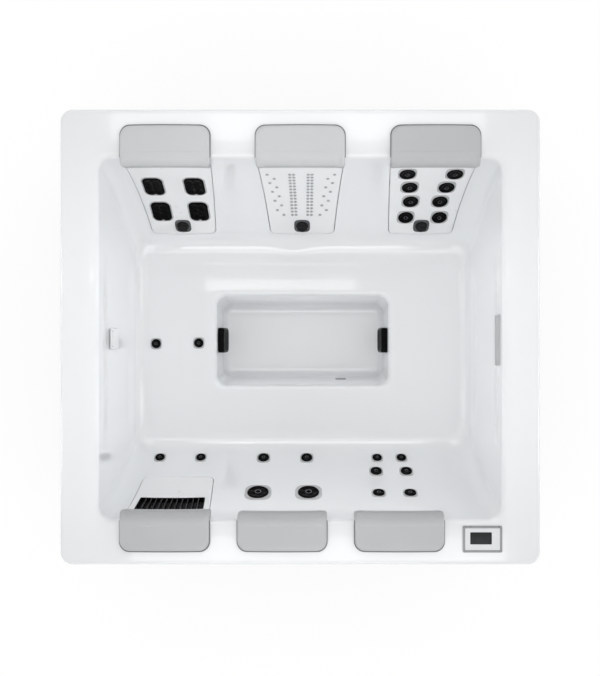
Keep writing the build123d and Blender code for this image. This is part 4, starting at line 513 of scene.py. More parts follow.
def oval(half_x: float, half_y: float, power: float, count: int) -> Array:
    """Closed outline of |x/a|^p + |y/b|^p = 1, read at even angles.

    Args:
        half_x: half width.
        half_y: half height.
        power: 2 for an ellipse, larger for a squarer outline.
        count: number of points.

    Returns:
        Points, counter-clockwise.
    """
    turn = np.arange(count) / count * math.tau
    flat = np.stack([np.cos(turn), np.sin(turn)], 1)
    size = (np.abs(flat[:, 0]) ** power + np.abs(flat[:, 1]) ** power) ** (-1 / power)
    return flat * size[:, None] * np.array([half_x, half_y])


def rounded(corners: Array, radii: Array, arc: int = 8, side: int = 10) -> Array:
    """Closed polygon with its corners rounded by arcs tangent to both edges.

    Args:
        corners: corner points, counter-clockwise.
        radii: radius at each corner.
        arc: points of each arc.
        side: points between two arcs.

    Returns:
        Points, counter-clockwise.
    """
    corners = np.asarray(corners, float)
    radii = np.asarray(radii, float)[:, None]
    back = np.roll(corners, 1, 0) - corners
    ahead = np.roll(corners, -1, 0) - corners
    back /= np.linalg.norm(back, axis=1)[:, None]
    ahead /= np.linalg.norm(ahead, axis=1)[:, None]
    half = np.arccos(np.clip((back * ahead).sum(1), -1, 1))[:, None] / 2
    middle = (back + ahead) / np.linalg.norm(back + ahead, axis=1)[:, None]
    centre = corners + middle * radii / np.sin(half)
    start = corners + back * radii / np.tan(half) - centre
    sweep = (math.pi - 2 * half)[:, :, None] * np.linspace(0, 1, arc)[None, :, None]
    cos, sin = np.cos(sweep), np.sin(sweep)
    sx, sy = start[:, None, 0:1], start[:, None, 1:2]
    arcs = centre[:, None] + np.concatenate([sx * cos - sy * sin, sx * sin + sy * cos], 2)
    share = (np.arange(1, side + 1) / (side + 1))[None, :, None]
    ends = np.roll(arcs[:, 0], -1, 0)[:, None]
    sides = arcs[:, -1:] * (1 - share) + ends * share
    return np.concatenate([arcs, sides], 1).reshape(-1, 2)


def box_outline(half_x: float, half_y: float, radius: float, arc: int = 7, side: int = 2) -> Array:
    """Rounded rectangle about the origin."""
    corners = [(-half_x, -half_y), (half_x, -half_y), (half_x, half_y), (-half_x, half_y)]
    return rounded(np.array(corners), np.full(4, radius), arc, side)


def inset(outline: Array, by: float) -> Array:
    """Outline moved inward along its normals, from the chord of each point's neighbours."""
    chord = np.roll(outline, -1, 0) - np.roll(outline, 1, 0)
    chord /= np.linalg.norm(chord, axis=1)[:, None] + 1e-9
    return outline - by * np.stack([chord[:, 1], -chord[:, 0]], 1)


def lifted(outline: Array, height: float | Array) -> Array:
    """Flat outline as points at a height."""
    tall = np.broadcast_to(np.asarray(height, float), outline.shape[:1])
    return np.concatenate([outline, tall[:, None]], 1)


def turned_rings(profile: Array, count: int = 48, shape: Array | None = None) -> Array:
    """Rings of a turned form: each (radius, height) times a circle, or an outline of size 1.

    Args:
        profile: radii and heights from first ring to last.
        count: points round.
        shape: outline of size 1 that takes the place of the circle.

    Returns:
        Rings of points.
    """
    flat = oval(1, 1, 2, count) if shape is None else shape
    rings = np.empty((len(profile), len(flat), 3))
    rings[..., :2] = profile[:, None, 0:1] * flat[None]
    rings[..., 2] = profile[:, None, 1]
    return rings


def rounded_path(points: list[tuple[float, float]], radius: float, steps: int = 4) -> Array:
    """Open path whose inner corners are cut by quadratic curves of about a radius.

    Args:
        points: the path's corners.
        radius: how far from a corner its curve starts, at most half an edge.
        steps: points of each curve, less one.

    Returns:
        The smoothed path: ((1-t)^2 a + 2t(1-t) b + t^2 c at each corner b).
    """
    path = np.asarray(points, float)
    ahead = path[2:] - path[1:-1]
    back = path[:-2] - path[1:-1]
    far = np.linalg.norm(ahead, axis=1)[:, None]
    near = np.linalg.norm(back, axis=1)[:, None]
    first = path[1:-1] + back / near * np.minimum(radius, near / 2)
    last = path[1:-1] + ahead / far * np.minimum(radius, far / 2)
    t = np.linspace(0, 1, steps + 1)[None, :, None]
    bends = first[:, None] * (1 - t) ** 2 + path[1:-1][:, None] * 2 * t * (1 - t)
    bends = bends + last[:, None] * t**2
    return np.concatenate([path[:1], bends.reshape(-1, 2), path[-1:]])


# ------------------------------------------------------------------ meshes


@dataclass
class Batch:
    """Surfaces gathered into one mesh, each with its own finish."""

    points: list = field(default_factory=list)
    faces: list = field(default_factory=list)
    slots: list = field(default_factory=list)
    count: int = 0

    def add(self, points: Array, faces: list[Array], slot: int = 0) -> None:
        """Adds points and faces that number them from 0."""
        self.points.append(points.reshape(-1, 3))
        for part in faces:
            self.faces += (part + self.count).tolist()
            self.slots += [slot] * len(part)
        self.count += len(self.points[-1])

    def loft(self, rings: Array, slot: int = 0, start: bool = True, end: bool = True,
             hoop: bool = False) -> None:
        """Skin over rings: quads between neighbours, fans to the middle at capped ends.

        Args:
            rings: closed rings of points, first to last.
            slot: finish number.
            start: close the first ring with a pole.
            end: close the last ring with a pole.
            hoop: join the last ring to the first.
        """
        many, around = rings.shape[:2]
        index = np.arange(many * around).reshape(many, around)
        if hoop:
            index = np.vstack([index, index[:1]])
        ahead = np.roll(index, -1, 1)
        quads = np.stack([index[:-1], ahead[:-1], ahead[1:], index[1:]], -1).reshape(-1, 4)
        points, faces = [rings.reshape(-1, 3)], [quads]
        total = many * around
        for wanted, ring, flip in ((start, 0, True), (end, -1, False)):
            if wanted and not hoop:
                points.append(rings[ring].mean(0)[None])
                pole = np.full(around, total)
                pair = (ahead[ring], index[ring]) if flip else (index[ring], ahead[ring])
                faces.append(np.stack([*pair, pole], -1))
                total += 1
        self.add(np.vstack(points), faces, slot)

    def sheet(self, grid: Array, slot: int = 0) -> None:
        """Open skin over a grid of points, quads between neighbours."""
        rows, across = grid.shape[:2]
        index = np.arange(rows * across).reshape(rows, across)
        quads = [index[:-1, :-1], index[:-1, 1:], index[1:, 1:], index[1:, :-1]]
        self.add(grid, [np.stack(quads, -1).reshape(-1, 4)], slot)

    def slab(self, front: Array, back: Array, slot: int = 0) -> None:
        """Closed bar: a section between two paths, carried over stations.

        The ring of each station is its front path and its back path reversed; the two
        end sections are closed by ladders of quads between the paths.

        Args:
            front: stations by path points.
            back: the same for the other side of the section.
            slot: finish number.
        """
        rings = np.concatenate([front, back[:, ::-1]], 1)
        many, around = rings.shape[:2]
        half = front.shape[1]
        index = np.arange(many * around).reshape(many, around)
        ahead = np.roll(index, -1, 1)
        quads = np.stack([index[:-1], ahead[:-1], ahead[1:], index[1:]], -1).reshape(-1, 4)
        steps = np.arange(half - 1)
        rung = [steps, steps + 1, around - 2 - steps, around - 1 - steps]
        first = np.stack(rung[::-1], -1)
        last = np.stack(rung, -1) + (many - 1) * around
        self.add(rings, [quads, first, last], slot)

    def build(self, name: str, finishes: list[Finish], body: str = "", slot: str = "",
              replaces: tuple[str, ...] = (), angle: float = 35.0, closed: bool = True,
              bevel: float = 0.0) -> bpy.types.Object:
        """Makes the mesh object, its faces outward, and ties it to its body.

        Args:
            name: the piece's name.
            finishes: materials in slot order.
            body: CAD body it rides on; empty for a helper.
            slot: material slot of the record; not used.
            replaces: CAD nodes that it stands for.
            angle: edges sharper than this stay sharp.
            closed: the surfaces are closed, so their normals can be recalculated.
            bevel: width of a two-step bevel, in millimetres.

        Returns:
            The object.
        """
        mesh = bpy.data.meshes.new(name)
        mesh.from_pydata((np.vstack(self.points) * MM).tolist(), [], self.faces)
        mesh.polygons.foreach_set("material_index", self.slots)
        mesh.polygons.foreach_set("use_smooth", [True] * len(mesh.polygons))
        if closed:
            work = bmesh.new()
            work.from_mesh(mesh)
            bmesh.ops.remove_doubles(work, verts=work.verts, dist=1e-6)
            bmesh.ops.recalc_face_normals(work, faces=work.faces)
            work.to_mesh(mesh)
            work.free()
        made = bpy.data.objects.new(name, mesh)
        bpy.context.scene.collection.objects.link(made)
        for finish in finishes:
            mesh.materials.append(finish.material())
        if bevel:
            rounding = made.modifiers.new("edges", "BEVEL")
            rounding.width = bevel * MM
            rounding.segments = 2
            rounding.limit_method = "ANGLE"
            rounding.angle_limit = math.radians(40)
        mesh.set_sharp_from_angle(angle=math.radians(angle))
        if body:
            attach(made, body)
        if replaces:
            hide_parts(*replaces)
        return made


def frozen(piece: bpy.types.Object) -> None:
    """Applies a piece's modifiers by taking its evaluated mesh."""
    graph = bpy.context.evaluated_depsgraph_get()
    mesh = bpy.data.meshes.new_from_object(
        piece.evaluated_get(graph), preserve_all_data_layers=True, depsgraph=graph
    )
    piece.modifiers.clear()
    piece.data = mesh


def cut(piece: bpy.types.Object, tool: bpy.types.Object, angle: float = 35.0) -> None:
    """Takes a closed tool out of a piece, removes the tool and marks sharp edges."""
    change = piece.modifiers.new("cut", "BOOLEAN")
    change.operation = "DIFFERENCE"
    change.solver = "EXACT"
    change.object = tool
    frozen(piece)
    bpy.data.objects.remove(tool)
    piece.data.set_sharp_from_angle(angle=math.radians(angle))


def smoothed(piece: bpy.types.Object, levels: int = 1) -> None:
    """Adds a subdivision surface with equal levels in view and render."""
    change = piece.modifiers.new("smooth", "SUBSURF")
    change.levels = levels
    change.render_levels = levels


# ------------------------------------------------------------------- shell


@dataclass(frozen=True)
class Bay:
    """Place of a removable panel in a wall, cut straight along its pull.

    Args:
        wall: the wall it is in.
        out: flat direction to that wall.
        along: position along it.
        depth: depth of its middle.
        pull: angle of the pull over the level, in degrees.
        top: its upper edge over its middle.
        low: its lower edge.
        half_top: half its width at the top.
        half_low: half its width at the foot.
        corner: radius of its lower corners.
        bow: how far its lower edge bows.
        back: thickness behind its middle.
    """

    wall: Wall
    out: tuple
    along: float
    depth: float
    pull: float
    top: float
    low: float
    half_top: float
    half_low: float
    corner: float
    bow: float
    back: float

    def place(self) -> Place:
        """The bay's plane, square to its pull."""
        away = float(self.wall.reach(self.depth))
        return tilted(self.out, away, self.along, self.depth, math.radians(self.pull))

    def outline(self, grow: float = 0.0, arc: int = 8, side: int = 26) -> Array:
        """Trapezoid with round lower corners and a bowed lower edge.

        The bow is a parabola across the lower edge that fades out upward.

        Args:
            grow: how far the outline is moved outward.
            arc: points of each corner.
            side: points of each side.

        Returns:
            Points of the outline.
        """
        low, top = self.low - grow, self.top + grow
        half_low, half_top = self.half_low + grow, self.half_top + grow
        corners = [(-half_low, low), (half_low, low), (half_top, top), (-half_top, top)]
        radius = max(self.corner + grow, 2)
        points = rounded(np.array(corners), np.array([radius, radius, 4, 4]), arc, side)
        sag = self.bow * (1 - (points[:, 0] / half_low) ** 2)
        points[:, 1] -= sag * (1 - eased(low, low + 60, points[:, 1]))
        return points

    def rise(self, up: Array) -> tuple[Array, Array]:
        """Height of the wall over the bay's plane, and the wall's lean, at places up it.

        Args:
            up: positions up the plane.

        Returns:
            Heights and leans, read from a fine table of the wall.
        """
        angle = math.radians(self.pull)
        depth = np.linspace(self.wall.top + self.wall.roll, self.wall.bottom - self.wall.cove, 400)
        back = float(self.wall.reach(self.depth)) - self.wall.reach(depth)
        climb = (self.depth - depth) * math.cos(angle) - back * math.sin(angle)
        over = back * math.cos(angle) + (self.depth - depth) * math.sin(angle)
        lean = self.wall.lean(depth)
        return np.interp(up, climb[::-1], over[::-1]), np.interp(up, climb[::-1], lean[::-1])

    def draped(self, outline: Array, proud: float | Array) -> Array:
        """Outline laid on the wall's curve, a height over it, in the tub's frame."""
        over = self.rise(outline[:, 1])[0]
        return self.place().put(lifted(self.turned(outline), over + proud))

    def turned(self, outline: Array) -> Array:
        """Outline with its x run to the tub's right on either wall."""
        return outline * np.array([-1.0 if self.out[1] < 0 else 1.0, 1.0])

    def flat(self, outline: Array, height: float) -> Array:
        """Outline at an even height over the bay's plane, in the tub's frame."""
        return self.place().put(lifted(self.turned(outline), height))

    def spot(self, x: float, up: float, proud: float) -> Place:
        """Spot square to the panel's face, with the height that it stands proud.

        Args:
            x: position to the right of the middle.
            up: position up the plane.
            proud: how far the face stands over the wall.

        Returns:
            The spot.
        """
        over, lean = (float(v) for v in self.rise(np.array(up)))
        over += proud / math.cos(lean - math.radians(self.pull))
        plane = self.place()
        across = -x if self.out[1] < 0 else x
        origin = plane.put(np.array([across, up, over], float))
        flat = math.cos(lean)
        normal = np.array([0.0, -self.out[1] * flat, math.sin(lean)])
        return Place(origin, plane.across, np.cross(normal, plane.across), normal)


def pack_bay(along: float) -> Bay:
    """Bay of a jet pack in the back wall."""
    return Bay(BACK_WALL, TO_BACK, along, 300, 28, 286, -282, 206, 168, 24, 7, 45)


LEFT_BAY = pack_bay(-632)
MIDDLE_BAY = pack_bay(0)
RIGHT_BAY = pack_bay(632)
FILTER_BAY = Bay(FRONT_WALL, TO_FRONT, -638, 235, 21, 210, -182, 202, 180, 34, -6, 34)
BAYS = (LEFT_BAY, MIDDLE_BAY, RIGHT_BAY, FILTER_BAY)


@dataclass(frozen=True)
class Shell:
    """The moulded acrylic shell: lip, rim, basin, seats and footwell in one skin.

    Args:
        arc: points of each corner.
        side: points of each side.
        thick: thickness of the skin.
        scoop: depth of the hollows in the side walls.
        gap: room round each removable panel.
    """

    arc: int = 16
    side: int = 44
    thick: float = 7.0
    scoop: float = 9.0
    gap: float = 3.0

    def ring(self, sizes: Array, radius: Array, height: Array) -> Array:
        """Rounded rectangles: quarter circles about four centres and straight sides.

        Args:
            sizes: reach to the right, left, back and front of each ring.
            radius: corner radius of each ring.
            height: height of each ring.

        Returns:
            Rings of points.
        """
        right, left, back, front = (sizes[:, i, None] for i in range(4))
        radius = radius[:, None]
        turn = np.linspace(0, math.pi / 2, self.arc)[None]
        parts = []
        for quarter, (cx, cy) in enumerate(
            [(right - radius, back - radius), (radius - left, back - radius),
             (radius - left, radius - front), (right - radius, radius - front)]
        ):
            angle = turn + quarter * math.pi / 2
            parts.append(np.stack([cx + radius * np.cos(angle), cy + radius * np.sin(angle)], -1))
        share = (np.arange(1, self.side + 1) / (self.side + 1))[None, :, None]
        joined = []
        for quarter in range(4):
            end, start = parts[quarter][:, -1:], parts[(quarter + 1) % 4][:, :1]
            joined += [parts[quarter], end * (1 - share) + start * share]
        flat = np.concatenate(joined, 1)
        tall = np.broadcast_to(height[:, None, None], (*flat.shape[:2], 1))
        return np.concatenate([flat, tall], 2)

    def basin_corner(self, depth: Array) -> Array:
        """Corner radius of the basin: grows down the wall, shrinks again in the cove."""
        radius = 60 + 50 * np.clip(depth / (SEAT - 74), 0, 1)
        return radius - 30 * np.clip((depth - SEAT + 74) / 74, 0, 1)

    def walled(self, walls: tuple[Wall, Wall, Wall], radius: Array, depth: Array) -> Array:
        """Rings at depths, each as far out as the walls reach there."""
        side, back, front = (wall.reach(depth) for wall in walls)
        return self.ring(np.stack([side, side, back, front], 1), radius, HEIGHT - depth)

    def between(self, first: Array, last: Array, share: Array) -> Array:
        """Rings evenly blended from one ring to another."""
        return first * (1 - share[:, None, None]) + last * share[:, None, None]

    def surface(self) -> Array:
        """All rings from the lip's lower edge over the rim and down to the footwell."""
        outer = np.array([HALF_X, HALF_X, HALF_Y, HALF_Y])
        turn = np.linspace(0, math.pi / 2, 7)
        edge = 14 * (1 - np.cos(turn))
        lip = self.ring(np.tile(outer, (3, 1)), np.full(3, 60.0), HEIGHT - np.array([45, 30, 16.0]))
        round_edge = self.ring(outer - edge[:, None], 60 - edge, HEIGHT - 14 + 14 * np.sin(turn))
        basin = (SIDE_WALL, BACK_WALL, FRONT_WALL)
        well = (WELL_SIDE, WELL_BACK, WELL_FRONT)
        roll = 22 * (1 - np.cos(np.linspace(0, math.pi / 2, 10)))
        sweep = np.linspace(22, SEAT - 74, 44)[1:]
        cove = SEAT - 74 * (1 - np.sin(np.linspace(0, math.pi / 2, 15)))[1:]
        depth = np.concatenate([roll, sweep, cove])
        walls = self.walled(basin, self.basin_corner(depth), depth)
        rim = self.between(round_edge[-1], walls[0], np.linspace(0, 1, 12)[1:-1])
        low = np.linspace(SEAT + 22, WELL - 46, 12)[1:]
        foot = WELL - 46 * (1 - np.sin(np.linspace(0, math.pi / 2, 10)))[1:]
        deep = np.concatenate([SEAT + roll, low, foot])
        radius = 52 - 22 * np.clip((deep - WELL + 46) / 46, 0, 1)
        sunk = self.walled(well, radius, deep)
        share = np.linspace(0, 1, 26)[1:-1]
        seat = self.between(walls[-1], sunk[0], share)
        shrink = np.linspace(1, 0, 12)[1:-1]
        middle = sunk[-1].mean(0)
        floor = middle + (sunk[-1] - middle) * shrink[:, None, None]
        return np.concatenate([lip, round_edge, rim, walls, seat, sunk, floor])

    def hollowed(self, rings: Array) -> Array:
        """Adds the side hollows, a small swell in the back cove and the seats' dishing.

        Each is a product of eased windows along the wall and down it.

        Args:
            rings: the shell's rings.

        Returns:
            The rings with the swells added.
        """
        x, y, z = rings[..., 0], rings[..., 1], rings[..., 2]
        depth = HEIGHT - z
        on_side = eased(860, 900, np.abs(x)) * bell(depth, 70, 575, 110)
        shaped = rings.copy()
        shaped[..., 0] += np.sign(x) * self.scoop * on_side * bell(y, -560, 420, 170)
        swell = np.exp(-(((x + 55) / 80) ** 2) - ((y - 505) / 34) ** 2)
        shaped[..., 2] += 7 * swell * (depth > 500)
        inside = (depth > SEAT - 1) & (depth < SEAT + 1)
        spread = bell(np.abs(x), 520, 860, 120) * bell(y, -420, 480, 160)
        near = np.exp(-(((x + 690) / 190) ** 2) - ((y + 32) / 90) ** 2)
        shaped[..., 2] -= 3 * inside * spread * (1 - np.clip(near * 1.6, 0, 1))
        return shaped

    def build(self) -> bpy.types.Object:
        """Shell mesh, its bays cut out, in place of the CAD shell."""
        batch = Batch()
        batch.loft(self.hollowed(self.surface()), start=False)
        shell = batch.build("tub_shell", [ACRYLIC], closed=False)
        work = bmesh.new()
        work.from_mesh(shell.data)
        highest = max(work.faces, key=lambda face: face.calc_center_median().z)
        if highest.normal.z < 0:
            bmesh.ops.reverse_faces(work, faces=work.faces)
        work.to_mesh(shell.data)
        work.free()
        skin = shell.modifiers.new("skin", "SOLIDIFY")
        skin.thickness = self.thick * MM
        skin.offset = -1
        frozen(shell)
        tools = Batch()
        for bay in BAYS:
            rim = bay.outline(self.gap, side=2)
            tools.loft(np.stack([bay.flat(rim, -70), bay.flat(rim, 80)]))
        cut(shell, tools.build("bay_tools", []), 30)
        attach(shell, "tub")
        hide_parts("shell")
        return shell

    def pockets(self) -> bpy.types.Object:
        """Trays behind the removable panels: one closed skin over inner and outer wall."""
        batch = Batch()
        for bay in BAYS:
            inner, outer = bay.outline(self.gap + 0.2), bay.outline(self.gap + 6)
            floor = -bay.back - 9
            rings = [
                bay.flat(inner * 0.5, floor),
                bay.flat(inner, floor),
                bay.draped(inner, -7.5),
                bay.draped(outer, -7.5),
                bay.flat(outer, floor - 6),
                bay.flat(outer * 0.5, floor - 6),
            ]
            batch.loft(np.stack(rings))
        return batch.build("bay_pockets", [ACRYLIC], "tub", "shell_white")


# ------------------------------------------------------------------- packs


def panel_rings(bay: Bay, proud: float = 2.5, edge: float = 3.0) -> Array:
    """Closed pack body: flat back, straight sides, rounded edge, face draped on the wall.

    The edge is a quarter circle; the face is the outline scaled towards its middle, laid
    on the wall's curve.

    Args:
        bay: the pack's bay.
        proud: how far the face stands over the wall.
        edge: radius of the edge.

    Returns:
        Rings from back to front.
    """
    outline = bay.outline()
    rings = [bay.flat(outline * s, -bay.back) for s in (0.3, 0.97)]
    rings += [bay.flat(outline, 4 - bay.back), bay.draped(outline, proud - edge - 4)]
    for turn in np.linspace(0, math.pi / 2, 5):
        drop = edge * (1 - math.sin(turn))
        rings.append(bay.draped(inset(outline, edge * (1 - math.cos(turn))), proud - drop))
    face = inset(outline, edge)
    centre = np.array([0.0, (bay.top + bay.low) / 2])
    for share in (0.99, 0.96, 0.9, 0.8, 0.66, 0.5, 0.34, 0.2, 0.1):
        rings.append(bay.draped(centre + (face - centre) * share, proud))
    return np.stack(rings)


@dataclass(frozen=True)
class JetPack:
    """A removable jet pack with its knob base.

    Args:
        side: left, middle or right.
        bay: its bay in the back wall.
        proud: how far its face stands over the wall.
        knob_up: position of the knob up the bay.
    """

    side: str
    bay: Bay
    proud: float = 2.5
    knob_up: float = -230.0

    def body(self) -> bpy.types.Object:
        """The pack's moulded body with its water port at the back."""
        batch = Batch()
        batch.loft(panel_rings(self.bay))
        port = np.array([(10, 2), (18, 2), (18, -20), (16.5, -22), (13, -22), (13, 0)], float)
        batch.loft(self.bay.place().moved(0, 0, -self.bay.back).put(turned_rings(port, 32)))
        return batch.build(
            f"pack_body_{self.side}", [PACK_PLASTIC], f"pack_{self.side}_unit", "pack_white",
            (f"pack_{self.side}",), 30,
        )

    def knob_base(self) -> bpy.types.Object:
        """Dark squarish plate under the knob, with a rounded edge."""
        shape = oval(1, 1, 3.6, 48)
        profile = [(20, -4), (42, -4), (42, 3), (41.2, 5), (39.5, 6), (36, 6.2), (20, 6.2), (19, 2)]
        batch = Batch()
        place = self.bay.spot(0, self.knob_up, self.proud)
        batch.loft(place.put(turned_rings(np.array(profile, float), shape=shape)))
        return batch.build(
            f"knob_plate_{self.side}", [KNOB_PLATE], f"pack_{self.side}_unit", "jet_black",
        )

    def knob(self) -> bpy.types.Object:
        """Black dial: a domed cap with a grip bar that swells out of it.

        The cap's height is a quarter-ellipse of the radius; the bar adds a rounded ridge
        along x, an eased window across y.

        Returns:
            The dial.
        """
        radius = np.array([8, 16, 26, 31, 33, 33.2, 33, 31.5, 29, 26, 22.5, 19, 15, 11, 7, 3.5])
        height = np.array([0, 0, 0, 2, 5, 8, 12, 15.5, 17.5, 18.6, 19.2, 19.6, 19.8, 20, 20, 20])
        rings = turned_rings(np.stack([radius, height + 1.0], 1), 64)
        top = height > 16
        bar = (1 - eased(5.0, 9.0, np.abs(rings[..., 1]))) * (1 - eased(24, 30, np.abs(rings[..., 0])))
        rings[..., 2] += np.where(top[:, None], 9.0 * bar, 0)
        stem = np.array([(7, 4), (12, 4), (12, -22), (7, -22)], float)
        place = self.bay.spot(0, self.knob_up, self.proud)
        batch = Batch()
        batch.loft(place.put(rings))
        batch.loft(place.put(turned_rings(stem, 24)))
        return batch.build(
            f"knob_cap_{self.side}", [KNOB_BLACK], f"knob_{self.side}_dial", "jet_black",
            (f"knob_{self.side}",), 40,
        )


@dataclass(frozen=True)
class SquareJets:
    """The left pack's four large square jets."""

    bay: Bay = LEFT_BAY
    half_x: float = 49.0
    half_y: float = 67.0

    def jet(self, batch: Batch, place: Place) -> None:
        """One jet: light rim, black domed face with an upright ridge and a small notch.

        The face is a rounded rectangle scaled to its middle; its height adds a ridge that
        is an eased window of x, and a dish below it.

        Args:
            batch: where the surfaces go.
            place: spot on the pack's face.
        """
        outer = box_outline(self.half_x + 7, self.half_y + 7, 36, 9, 4)
        rim = [(0, -3), (0, 1.5), (0.6, 2.8), (1.6, 3.4), (5.4, 3.4), (6.4, 2.6)]
        rings = [place.put(lifted(inset(outer, by), tall)) for by, tall in rim]
        batch.loft(np.stack(rings), 1)
        face = box_outline(self.half_x, self.half_y, 30, 9, 6)
        rings = []
        for by, tall in ((0, -2), (0, 3.5), (0.8, 5.0), (2.4, 6.2), (5, 6.8)):
            rings.append(lifted(inset(face, by), tall))
        inner = inset(face, 5)
        for share in (0.93, 0.86, 0.78, 0.7, 0.6, 0.5, 0.4, 0.3, 0.2, 0.1):
            rings.append(lifted(inner * share, 6.8))
        grid = np.stack(rings)
        x, y = np.abs(grid[5:, :, 0]), grid[5:, :, 1]
        ridge = (1 - eased(3.0, 8.0, x)) * (1 - eased(48, 60, np.abs(y)))
        dish = (1 - eased(22, 44, x)) * (1 - eased(36, 58, np.abs(y)))
        grid[5:, :, 2] += 5.0 * ridge - 4.0 * dish
        batch.loft(place.put(grid))
        notch = box_outline(7, 3.2, 2, 4, 1)
        spot = place.moved(0, -self.half_y + 6.5, 5.8)
        batch.loft(np.stack([spot.put(lifted(notch * s, t)) for s, t in ((1, 0), (1, 1.2), (0.7, 1.7))]), 1)
        stem = np.array([(10, 0), (32, 0), (32, -22), (10, -22)], float)
        batch.loft(place.put(turned_rings(stem, 32)))

    def build(self) -> bpy.types.Object:
        """All four jets on the left pack."""
        batch = Batch()
        for x, up in ((102, 68), (97, -125)):
            for sign in (-1, 1):
                self.jet(batch, self.bay.spot(sign * x, up, 2.5))
        return batch.build(
            "square_jets", [JET_BLACK, TRIM_GREY], "pack_left_unit", "jet_black",
            ("pack_left_jets",), 40,
        )


@dataclass(frozen=True)
class SprayHoles:
    """The middle pack's spray grommets: two double columns and two zigzag ones."""

    bay: Bay = MIDDLE_BAY
    rows: int = 14
    outer: int = 10

    def spots(self) -> list[tuple[float, float]]:
        """Places of the grommets, spread evenly down each column."""
        found = []
        for share in np.linspace(0, 1, self.rows):
            up = 164 - 316 * share
            middle = 45 - 5 * share
            for x in (middle - 9.5, middle + 9.5):
                found += [(-x, up), (x, up)]
        for index, share in enumerate(np.linspace(0, 1, self.outer)):
            x = 150 - 42 * share + (14 if index % 2 == 0 else -14)
            found += [(-x, 164 - 316 * share), (x, 164 - 316 * share)]
        return found

    def build(self) -> bpy.types.Object:
        """Small turned rings with dark mouths, the dark painted shade in their holes."""
        ring = np.array([(8.6, -1), (8.4, 1.0), (7.6, 1.7), (2.6, 1.7), (1.8, 0.3)], float)
        # Painted shade: a dark disc sits in each grommet's hole.
        mouth = np.array([(2.2, 0.4), (0.8, 0.4)], float)
        batch = Batch()
        for x, up in self.spots():
            place = self.bay.spot(x, up, 2.5)
            batch.loft(place.put(turned_rings(ring, 12)))
            batch.loft(place.put(turned_rings(mouth, 12)), 1, start=False)
        return batch.build("spray_grommets", [GROMMET, JET_DARK], "pack_middle_unit", "fitting_grey", angle=50)


@dataclass(frozen=True)
class RoundJets:
    """The right pack's eight small jets on squarish grey plates."""

    bay: Bay = RIGHT_BAY
    rows: tuple = ((115, 171), (92, 61), (75, -50), (88, -168))

    def jet(self, batch: Batch, place: Place) -> None:
        """One jet: grey plate, black face with a dished ring and a light nozzle ring."""
        shape = oval(1, 1, 3.4, 56)
        plate = [(20, -3), (46, -3), (46, 1.6), (45, 3.2), (43, 4), (40.5, 4), (39.5, 3)]
        batch.loft(place.put(turned_rings(np.array(plate, float), shape=shape)), 1)
        face = [(39.6, 0), (39.6, 4.8), (38.6, 6.6), (36.5, 7.4), (32, 7.2), (28, 5.6), (20, 4.6),
                (13, 4.8), (10.5, 6.4), (9.2, 6.6), (8.4, 6.2), (8.0, 3.6), (4, 3.4)]
        batch.loft(place.put(turned_rings(np.array(face, float), 56)))
        ring = [(9.8, 4), (9.7, 6.9), (9.2, 7.2), (8.7, 6.9), (8.6, 4)]
        batch.loft(place.put(turned_rings(np.array(ring, float), 40)), 2, hoop=True)
        stem = np.array([(10, 0), (30, 0), (30, -24), (10, -24)], float)
        batch.loft(place.put(turned_rings(stem, 32)))

    def build(self) -> bpy.types.Object:
        """All eight jets on the right pack."""
        batch = Batch()
        for x, up in self.rows:
            for sign in (-1, 1):
                self.jet(batch, self.bay.spot(sign * x, up, 2.5))
        return batch.build(
            "round_jets", [JET_BLACK, TRIM_GREY, NOZZLE], "pack_right_unit", "jet_black",
            ("pack_right_jets",), 40,
        )


# --------------------------------------------------------------- wall jets


class JetSize(Enum):
    """Radius of a wall jet's face and of its rim."""

    SMALL = (25.0, 31.0)
    MEDIUM = (29.5, 36.0)
    LARGE = (53.0, 67.0)


FRONT_JETS = (
    (-762, 528, JetSize.SMALL), (-543, 528, JetSize.SMALL), (-207, 526, JetSize.MEDIUM),
    (24, 526, JetSize.MEDIUM), (-218, 278, JetSize.LARGE), (36, 278, JetSize.LARGE),
    (401, 526, JetSize.SMALL), (531, 526, JetSize.SMALL), (389, 438, JetSize.MEDIUM),
    (547, 438, JetSize.MEDIUM), (389, 274, JetSize.MEDIUM), (547, 274, JetSize.MEDIUM),
)


